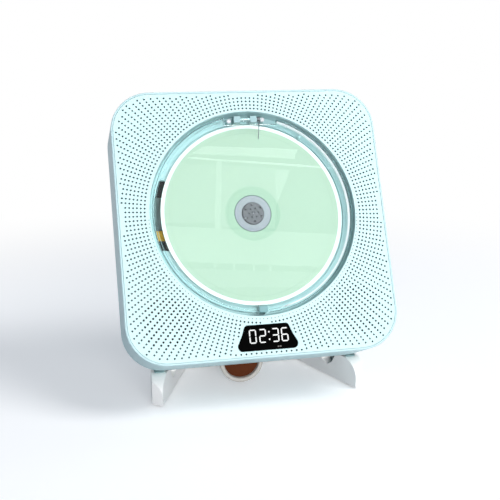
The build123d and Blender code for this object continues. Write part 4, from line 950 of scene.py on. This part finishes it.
# %% Case, tray, rear cover, catch and keys
SHELL_EDGES = {"case": 0.25, "disc_tray": 0.20, "rear_cover": 0.40, "lid_catch": 0.30}
BODY_OF = {"lid_catch": "lid_catch"}
PAINT_OF = {
    "case": case_half_shade_paint,
    "disc_tray": tray_shade_paint,
    "rear_cover": cover_heel_shade_paint,
    "lid_catch": catch_shade_paint,
}
for solid, width in SHELL_EDGES.items():
    piece = softened(solid, solid + "_shell", width)
    piece.data.materials.clear()
    piece.data.materials.append(PAINT_OF[solid])
    keep(piece, BODY_OF.get(solid, "player"), "shell", solid)
KEYS = ["power", "previous", "play", "next", "volume"]
for name in KEYS:
    piece = softened("key_" + name, "key_cap_" + name, 0.5, steps=3)
    piece.data.materials.clear()
    piece.data.materials.append(shell_paint)
    keep(piece, "key_" + name, "shell", "key_" + name)

# %% [markdown]
# The top wall's keys carry the usual signs for power, back, play, next and volume. They are
# printed, so each is a sheet of ink a few hundredths of a millimetre thick, laid on its key and
# moving with it. A sign is a handful of flat polygons in the key's own axes: right, inwards, out.

# %% Signs on the keys
KEY_PITCH = 16.0
KEY_TOP = 88.8
KEY_IN = 19.0
INK = 0.03
TOP_TURN = Matrix((right_way, -out_way, up_way)).transposed().to_4x4()


def circle_points(r, steps, start=0.0, sweep=360.0):
    """Points on an arc, angles in degrees."""
    count = steps if sweep >= 360 else steps + 1
    return [
        (
            r * math.cos(math.radians(start + sweep * k / steps)),
            r * math.sin(math.radians(start + sweep * k / steps)),
        )
        for k in range(count)
    ]


def arc_band(inner, outer, start, sweep, steps=16):
    """Part of a ring as one outline."""
    there = circle_points(outer, steps, start, sweep)
    return there + circle_points(inner, steps, start, sweep)[::-1]


def moved(points, dx, dy=0.0):
    """Shift an outline."""
    return [(x + dx, y + dy) for x, y in points]


def ink_piece(name, outlines, place, material, thick=INK):
    """Flat outlines with a little thickness, as one mesh."""
    bm = bmesh.new()
    for outline in outlines:
        low = [bm.verts.new((x, y, 0)) for x, y in outline]
        high = [bm.verts.new((x, y, thick)) for x, y in outline]
        bm.faces.new(high)
        bm.faces.new(low[::-1])
        for k in range(len(low)):
            n = (k + 1) % len(low)
            bm.faces.new((low[k], low[n], high[n], high[k]))
    piece = to_object(name, bm, place)
    piece.data.materials.append(material)
    return piece


bar = [(-0.22, -1.1), (0.22, -1.1), (0.22, 1.1), (-0.22, 1.1)]
arrow = [(-0.8, -1.0), (0.9, 0.0), (-0.8, 1.0)]
speaker = [(-1.3, -0.4), (-0.7, -0.4), (-0.1, -1.0), (-0.1, 1.0), (-0.7, 0.4), (-1.3, 0.4)]
SIGNS = {
    "power": [moved([(x * 0.9, y * 0.6) for x, y in bar], 0, 0.75), arc_band(0.85, 1.2, 125, 290)],
    "previous": [moved([(-x, y) for x, y in arrow][::-1], 0.3), moved(bar, -1.0)],
    "play": [moved(arrow, -0.5), moved(bar, 0.8), moved(bar, 1.5)],
    "next": [moved(arrow, -0.3), moved(bar, 1.0)],
    "volume": [speaker, arc_band(0.45, 0.75, -45, 90, 6), arc_band(1.05, 1.35, -45, 90, 8)],
}
for k, name in enumerate(KEYS):
    at = FACE @ Vector(((k - 2) * KEY_PITCH, KEY_TOP + 0.005, -KEY_IN))
    place = Matrix.Translation(at) @ TOP_TURN @ Matrix.Scale(0.001, 4)
    sign = ink_piece("key_sign_" + name, SIGNS[name], place, soft_grey)
    keep(sign, "key_" + name, "rubber_grey")

# %% [markdown]
# ## Clear lid
# The lid's edges are polished round, and that rounding is what makes its rim show as two or three
# bright lines over the channel. A wider bevel with more steps keeps those lines smooth.

# %% Lid
lid = softened("dust_cover", "clear_lid", 0.35, steps=3)
lid.data.materials.clear()
lid.data.materials.append(lid_clear)
keep(lid, "cover", "clear", "dust_cover")

# %% [markdown]
# ## Disc, hub and spring
# A disc is a lathe's work: one outline of radius and height, spun round. The outline has the
# moulded stacking ring that keeps discs from touching in a pile, a shallow groove where the clear
# middle ends, and rims that are rounded by a tenth of a millimetre.

# %% Disc
DISC_TOP = -6.3
DISC_THICK = 1.2


def up(rise):
    """Height above the printed side, in the face's own axes."""
    return DISC_TOP + rise


disc_outline = [
    (7.5, up(-DISC_THICK + 0.1)),
    (7.5, up(-0.1)),
    (7.6, up(0)),
    (11.7, up(0)),
    (11.85, up(-0.15)),
    (12.15, up(-0.15)),
    (12.3, up(0)),
    (16.4, up(0)),
    (16.6, up(0.12)),
    (17.0, up(0.12)),
    (17.2, up(0)),
    (57.4, up(0)),
    (57.5, up(-0.05)),
    (59.85, up(-0.05)),
    (60.0, up(-0.2)),
    (60.0, up(-DISC_THICK + 0.15)),
    (59.85, up(-DISC_THICK)),
    (7.6, up(-DISC_THICK)),
]
disc_piece = lathe("printed_disc", disc_outline, WELL, steps=160)
disc_piece.data.materials.append(disc_print)
keep(disc_piece, "disc", "disc", "disc")

# %% [markdown]
# The hub that grips the disc is a turned cap with two rings of small blind holes. The cap is the
# solid with softer edges; the holes are again a small node tree, a circle of points with a pin on
# each, and the pins are cut out of the cap.

# %% Hub with its two rings of holes
drill, sizes = sized_tree(
    "drill the hub",
    Holes=6,
    Outer_ring=5.6,
    Inner_ring=3.1,
    Outer_hole=0.74,
    Inner_hole=0.60,
    Top=-5.0,
    Depth=1.3,
)
rings = []
for ring, hole, turn in (("Outer_ring", "Outer_hole", 35.0), ("Inner_ring", "Inner_hole", 5.0)):
    spots = {"Vertices": sizes["Holes"], "Radius": sizes[ring]}
    spots = add(drill, "GeometryNodeMeshCircle", spots).outputs[0]
    lift = add(drill, "ShaderNodeCombineXYZ", {"Z": sizes["Top"]}).outputs[0]
    turned = {"Geometry": spots, "Rotation": (0, 0, math.radians(turn)), "Translation": lift}
    spots = add(drill, "GeometryNodeTransform", turned).outputs[0]
    size = {"X": sizes[hole], "Y": sizes[hole], "Z": calc(drill, "MULTIPLY", sizes["Depth"], 2)}
    size = add(drill, "ShaderNodeCombineXYZ", size).outputs[0]
    pin = {"Vertices": 14, "Radius": 1.0, "Depth": 1.0}
    pin = add(drill, "GeometryNodeMeshCylinder", pin).outputs["Mesh"]
    pins = {"Points": spots, "Instance": pin, "Scale": size}
    rings.append(add(drill, "GeometryNodeInstanceOnPoints", pins).outputs[0])
both = add(drill, "GeometryNodeJoinGeometry")
for ring in rings:
    drill.links.new(ring, both.inputs[0])
both = add(drill, "GeometryNodeRealizeInstances", {"Geometry": both.outputs[0]}).outputs[0]
cut = {"Mesh 1": sizes["Geometry"], "Mesh 2": both}
cut = add(drill, "GeometryNodeMeshBoolean", cut, operation="DIFFERENCE", solver="MANIFOLD")
finish_tree(drill, cut.outputs["Mesh"], sizes)
hub = in_face_mm(softened("spindle_hub", "drilled_hub", 0.15), WELL)
grow(hub, drill, hub_grey, WELL)
smooth_by_angle(hub, 30)
keep(hub, "spindle", "hub", "spindle_hub")

# %% [markdown]
# The motor's shaft ends in the middle of the hub as a small polished dome, the one bright dot in
# the grey. It is a stub spun from a few points, and it turns with the hub.

# %% Shaft tip
tip = [(0.0, -5.0), (0.4, -5.05), (0.75, -5.25), (0.9, -5.6), (0.9, -9.0), (0.0, -9.0)]
tip_piece = lathe("shaft_tip", tip, WELL, steps=32, closed=False)
tip_piece.data.materials.append(ball_steel)
keep(tip_piece, "spindle", "steel")

# %% [markdown]
# The lid's spring is a coil round the hinge pin with two legs: one rests on the channel's floor,
# one lies under the lid. It is one wire, so it is one curve: the coil's points come from a loop,
# the legs are a few listed points, and the curve's bevel gives the wire its thickness. It crosses
# the hinge.

# %% Coiled lid spring
HINGE_UP = 62.4
HINGE_IN = 1.5
WIRE_R = 0.3
COIL_R = 1.25
COIL_FROM, COIL_TO = 8.2, 9.7
COIL_TURNS = 3.25


def spring_route():
    """Short leg, coil round the pin, long leg; right, up and depth in millimetres."""
    points = [(COIL_FROM, HINGE_UP + COIL_R, 8.2), (COIL_FROM, HINGE_UP + COIL_R, 4.0)]
    steps = round(COIL_TURNS * 12)
    for k in range(steps + 1):
        turn = 2 * math.pi * k / 12
        across = COIL_FROM + (COIL_TO - COIL_FROM) * k / steps
        rise = HINGE_UP + COIL_R * math.cos(turn)
        points.append((across, rise, HINGE_IN - COIL_R * math.sin(turn)))
    points += [(9.3, 58.4, 3.5), (8.6, 53.0, 3.5), (8.1, 49.4, 3.5)]
    return points


wire = bpy.data.curves.new("lid_spring", "CURVE")
wire.dimensions = "3D"
wire.bevel_depth = WIRE_R / 1000
wire.bevel_resolution = 3
wire.use_fill_caps = True
route = [face_point(x, y + DISC_UP, depth) for x, y, depth in spring_route()]
line = wire.splines.new("NURBS")
line.points.add(len(route) - 1)
for point, place in zip(line.points, route):
    point.co = (*place, 1.0)
line.order_u = 3
line.use_endpoint_u = True
line.resolution_u = 4
drawn = bpy.data.objects.new("lid_spring_curve", wire)
scene.collection.objects.link(drawn)
bpy.context.view_layer.update()
mesh = bpy.data.meshes.new_from_object(drawn.evaluated_get(bpy.context.evaluated_depsgraph_get()))
bpy.data.objects.remove(drawn)
mesh.name = "lid_spring"
mesh.materials.clear()
mesh.materials.append(spring_steel)
spring = bpy.data.objects.new("lid_spring", mesh)
scene.collection.objects.link(spring)
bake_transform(spring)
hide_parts("cover_spring")
print("spring points", len(route), "faces", len(mesh.polygons))

# %% [markdown]
# ## Clock
# Each digit is seven bars. The bars that a digit lights are looked up in a small table, and one
# bar outline with pointed ends serves for all of them. The digits lie just over the black pane,
# as thin as ink.

# %% Pane and digits
pane = softened("display_window", "clock_pane", 0.35, steps=3)
pane.data.materials.clear()
pane.data.materials.append(pane_black)
keep(pane, "player", "window", "display_window")

DIGIT_W, DIGIT_H, STROKE, NICK = 4.6, 8.8, 0.78, 0.10
BARS = {  # each bar: its middle in shares of the digit, and whether it stands upright
    "top": (0.0, 1.0, False),
    "middle": (0.0, 0.0, False),
    "bottom": (0.0, -1.0, False),
    "left_high": (-1.0, 0.5, True),
    "left_low": (-1.0, -0.5, True),
    "right_high": (1.0, 0.5, True),
    "right_low": (1.0, -0.5, True),
}
LIT = {
    0: ["top", "bottom", "left_high", "left_low", "right_high", "right_low"],
    2: ["top", "middle", "bottom", "right_high", "left_low"],
    3: ["top", "middle", "bottom", "right_high", "right_low"],
    6: ["top", "middle", "bottom", "left_high", "left_low", "right_low"],
}
DIGIT_PLACES = [(-9.4, 0), (-3.1, 2), (5.2, 3), (11.2, 6)]
CLOCK_UP = 0.9


def bar_outline(name):
    """One bar of a digit whose middle is at 0, 0."""
    across, rise, upright = BARS[name]
    cx = across * (DIGIT_W - STROKE) / 2
    cy = rise * (DIGIT_H - STROKE) / 2
    half = ((DIGIT_H - STROKE) / 2 if upright else DIGIT_W - STROKE) / 2 - NICK
    s = STROKE / 2
    points = [(-half, 0), (-half + s, -s), (half - s, -s), (half, 0), (half - s, s), (-half + s, s)]
    if upright:
        points = [(-y, x) for x, y in points]
    return moved(points, cx, cy)


outlines = []
for across, digit in DIGIT_PLACES:
    outlines += [moved(bar_outline(name), across, CLOCK_UP) for name in LIT[digit]]
outlines += [moved(circle_points(0.52, 12), 1.15, CLOCK_UP + rise) for rise in (-2.4, 2.3)]
pane_out = max((WELL.inverted() @ v.co).z for v in pane.data.vertices)
place = FACE @ Matrix.Translation((0, WINDOW_MIDDLE, pane_out + 0.01))
digits = ink_piece("clock_digits", outlines, place, digit_light)
keep(digits, "player", "window")
marks = [moved([(-0.5, -0.4), (0.5, -0.4), (0.5, 0.4), (-0.5, 0.4)], dx, -6.3) for dx in (6.4, 7.8)]
sign = ink_piece("clock_sign", marks, place, mark_light)
keep(sign, "player", "window")

# %% [markdown]
# ## Stand
# Each leg stands on a round toe, rises to a lobe that carries the player's lower edge, dips, and
# goes on as an arm behind the player. The edges have a generous moulded rounding.

# %% Legs, bar and cord hoop
STAND_EDGES = {"leg_left": 0.9, "leg_right": 0.9, "stand_bar": 0.6, "cable_hoop": 0.35}
for solid, width in STAND_EDGES.items():
    piece = softened(solid, solid + "_moulded", width, steps=3)
    piece.data.materials.clear()
    # the cord hoop takes the stand's white with painted shade
    piece.data.materials.append(hoop_shade_paint if solid == "cable_hoop" else stand_paint)
    keep(piece, "stand", "stand", solid)
grommet = softened("cord_grommet", "cord_grommet_rubber", 0.3)
grommet.data.materials.clear()
grommet.data.materials.append(soft_brown)
keep(grommet, "stand", "rubber_brown", "cord_grommet")

# %% [markdown]
# ## Everything else
# The remaining solids are right as they are and only need their finish. A solid's mesh is never
# edited; its material slots simply point to another material.
# Three of them differ from their group: the hinge pin is pale plastic, the lid plunger takes the
# tray's colour and its painted shade, and the seat pads a grey rubber with painted aqua shade.

# %% Finishes for the solids that stay
FINISH_OF = {
    "steel": bright_steel,
    "balls": ball_steel,
    "deck": deck_black,
    "rubber_dark": soft_dark,
    "rubber_grey": soft_grey,
    "ribbon": amber_film,
    "gear": gear_white,
    "sled": sled_grey,
    "lens": lens_tint,
    "board": board_green,
    "cone": cone_paper,
    "socket": socket_black,
    "shell": shell_paint,
    "stand": stand_paint,
    "clear": lid_clear,
    "window": pane_black,
    "disc": disc_print,
    "hub": hub_grey,
    "rubber_brown": soft_brown,
}
# the lid plunger and the seat pads take finishes with painted shade
OWN_FINISH = {"hinge_pin": pin_grey, "lid_plunger": tray_shade_paint, "seat_pads": pad_shade_grey}
painted = 0
for entry in frame["record"]["subparts"]:
    solid = nodes[entry["node"]]
    for slot in solid.material_slots:
        slot.material = OWN_FINISH.get(entry["node"], FINISH_OF[entry["material_slot"]])
        painted += 1
print("material slots set:", painted)

# %% [markdown]
# ## Studio
# The camera stands a little left of the middle and above it, looking slightly down. The floor is
# a plain pale sheet; the background is white only for the camera's own rays and those that glass
# and gloss send on, so that it adds no light of its own to the object.

# %% Camera
CAMERA_FROM_FACE = Vector((-0.130567, -0.547683, 0.127193))
SEEN_RIGHT = Vector((0.97423741, -0.22552487, 0.0))
SEEN_UP = Vector((0.05689796, 0.2457916, 0.96765134))
camera_data = bpy.data.cameras.new("camera")
camera_data.lens = 64.8
camera_data.sensor_width = 36.0
camera = bpy.data.objects.new("camera", camera_data)
scene.collection.objects.link(camera)
turn = Matrix((SEEN_RIGHT, SEEN_UP, SEEN_RIGHT.cross(SEEN_UP))).transposed().to_4x4()
camera.matrix_world = Matrix.Translation(FACE_MIDDLE + CAMERA_FROM_FACE) @ turn
scene.camera = camera
print("camera at", tuple(round(c, 3) for c in camera.matrix_world.translation))

# %% [markdown]
# The floor is a real surface that takes the object's soft shadow. For straight looks it is lifted
# a little and fades to plain white further off, so that no horizon shows; light that bounces from
# it to the object meets a slightly darker sheet, which keeps the lower walls in half shade.

# %% Floor


def straight_look(tree):
    """1 for a ray that comes from the camera, mirrored or through glass, without a bounce."""
    path = tree.nodes.new("ShaderNodeLightPath").outputs
    seen = calc(tree, "MAXIMUM", path["Is Camera Ray"], path["Is Glossy Ray"])
    seen = calc(tree, "MAXIMUM", seen, path["Is Transmission Ray"])
    return calc(tree, "MULTIPLY", seen, calc(tree, "LESS_THAN", path["Diffuse Depth"], 0.5))


FLOOR_HALF = 4.0
FLOOR_DROP = 0.0002
FADE_FROM, FADE_TO = 0.2, 0.6
FLOOR_LIFT = 0.31
bm = bmesh.new()
corners = [(a * FLOOR_HALF, b * FLOOR_HALF) for a, b in ((-1, -1), (1, -1), (1, 1), (-1, 1))]
bm.faces.new([bm.verts.new((x, y, -FLOOR_DROP)) for x, y in corners])
floor = to_object("floor", bm)
sheet, tree, place = blank_material("pale floor")
speckle = group_value(tree, grain_group, "Height", Position=place, Grains_per_metre=40.0)
seen = straight_look(tree)
tone = {"Factor": seen, "A": linear("d2d4d8"), "B": linear("f1f1f1")}
tone = add(tree, "ShaderNodeMix", tone, data_type="RGBA").outputs["Result"]
matt = {
    "Base Color": shaded(tree, place, tone, 0.01),
    "Roughness": 0.85,
    "Normal": add(tree, "ShaderNodeBump", {"Height": speckle, "Strength": 0.02}).outputs["Normal"],
    "Specular IOR Level": 0.1,
}
matt = add(tree, "ShaderNodeBsdfPrincipled", matt).outputs["BSDF"]
bright = add(tree, "ShaderNodeEmission", {"Color": linear("ffffff"), "Strength": 1.0}).outputs[0]
away = add(tree, "ShaderNodeVectorMath", {0: place}, operation="LENGTH").outputs["Value"]
away = {"Value": away, "From Min": FADE_FROM, "From Max": FADE_TO}
away = add(tree, "ShaderNodeMapRange", away, interpolation_type="SMOOTHSTEP").outputs["Result"]
lift = {"Color": linear("ffffff"), "Strength": calc(tree, "MULTIPLY", seen, FLOOR_LIFT)}
lift = add(tree, "ShaderNodeEmission", lift).outputs[0]
matt = add(tree, "ShaderNodeAddShader", {0: matt, 1: lift}).outputs[0]
fades = {"Fac": calc(tree, "MULTIPLY", seen, away), 1: matt, 2: bright}
fades = add(tree, "ShaderNodeMixShader", fades).outputs[0]
add(tree, "ShaderNodeOutputMaterial", {"Surface": fades})
floor.data.materials.append(sheet)
print("floor, m across:", 2 * FLOOR_HALF)

# %% [markdown]
# A large soft lamp stands high on the right, where it lights the leaning face evenly and leaves
# the left and lower walls in half shade. A second one stands low in front and reaches the legs.

# %% World and lamps
world = bpy.data.worlds.new("studio")
scene.world = world
world.use_nodes = True
tree = world.node_tree
tree.nodes.clear()
SKY = 0.30
room = add(tree, "ShaderNodeBackground", {"Color": linear("dcebff"), "Strength": SKY}).outputs[0]
white = add(tree, "ShaderNodeBackground", {"Color": linear("ffffff"), "Strength": 1.0}).outputs[0]
sky = {"Fac": straight_look(tree), 1: room, 2: white}
sky = add(tree, "ShaderNodeMixShader", sky).outputs[0]
add(tree, "ShaderNodeOutputWorld", {"Surface": sky})


def lamp(name, place, aim, width, height, power, colour="ffffff"):
    """Area lamp that looks from place to aim. Places are in metres."""
    data = bpy.data.lights.new(name, "AREA")
    data.shape = "RECTANGLE"
    data.size, data.size_y = width, height
    data.energy = power
    data.color = linear(colour)[:3]
    obj = bpy.data.objects.new(name, data)
    scene.collection.objects.link(obj)
    look = Vector(aim) - Vector(place)
    aimed = look.to_track_quat("-Z", "Y").to_matrix().to_4x4()
    obj.matrix_world = Matrix.Translation(place) @ aimed


AIM = (0.0, 0.0, 0.11)
lamp("key lamp", (1.3, -0.8, 1.7), AIM, 1.0, 1.0, 27.5)
lamp("front lamp", (0.15, -2.1, 0.5), AIM, 1.2, 0.5, 28.0)

# %% [markdown]
# The clear lid is a mirror for whatever stands in front of it. A sheet of light with window bars
# hangs where the lid mirrors it towards the camera. Only mirrored rays see it, so it adds no light
# to the object, and it is drawn in the face's own axes so that each bar lands where it should.

# %% Window in the lid's reflection
CARD_OUT = 800.0
CARD_STEP = 4  # each card hangs this much further out than the one before
EYE = (-130.567, -122.9, 548.7)  # the camera in the face's axes, millimetres
GROWN = (EYE[2] + CARD_OUT) / EYE[2]


def on_card(x, y):
    """The place on the card that the lid's point x, y mirrors."""
    return EYE[0] + (x - EYE[0]) * GROWN, EYE[1] + (y - EYE[1]) * GROWN


PANES = [  # brightness, then the outline as it shows on the lid, right and up in millimetres
    (6.5, [(-40, 44.3), (-40, 42.9), (64, 31.5), (64, 32.9)]),
    (5.2, [(-29, 51.5), (-38, 46.7), (31, 40.9), (33.5, 47.4)]),
    (2.3, [(-55, 41), (-58, 2.6), (-25.8, 1), (-22.2, 39)]),
    (4.4, [(-21.1, 42), (-26.1, -2.3), (-22.3, -3.1), (-17.2, 41.6)]),
    (2.5, [(-17.6, 40), (-22.1, -1.2), (14, -4.4), (16.2, 11.5), (18.4, 36.3)]),
    (4.0, [(18.5, 36), (16.2, 11.5), (17, 11.4), (29, 35)]),
    (3.3, [(-59.6, 2), (-56, -21.2), (43, -31.1), (55.3, -22.6), (59.6, -10.1), (17.5, -5.9)]),
    (2.2, [(-51, -25.6), (-42, -38.6), (36.6, -43.8), (47, -35)]),
    (3.3, [(-27.1, -22.4), (-27.5, -26.5), (-25.6, -26.7), (-25.2, -22.4)]),
    (3.3, [(-14.7, -24), (-15, -28), (-13.8, -28.2), (-13.4, -24)]),
    (3.3, [(-0.8, -25), (-1.2, -29.5), (0.4, -29.7), (0.8, -25)]),
    (3.3, [(10.5, -26), (10.1, -31), (11.7, -31.2), (12.1, -26)]),
]
for k, (level, outline) in enumerate(PANES):
    bm = bmesh.new()
    bm.faces.new([bm.verts.new((*on_card(x, y), CARD_OUT + CARD_STEP * k)) for x, y in outline])
    card = to_object("window_card_" + str(k), bm, FACE)
    light, tree, place = blank_material("window pane light " + str(k))
    cloud = group_value(tree, drift_group, "Shade", Position=place, Amount=0.3)
    glow = {"Color": linear("ffffff"), "Strength": calc(tree, "MULTIPLY", cloud, level)}
    glow = add(tree, "ShaderNodeEmission", glow).outputs[0]
    add(tree, "ShaderNodeOutputMaterial", {"Surface": glow})
    card.data.materials.append(light)
    for ray in ("camera", "diffuse", "transmission", "volume_scatter", "shadow"):
        setattr(card, "visible_" + ray, False)
print("panes in the reflection:", len(PANES))
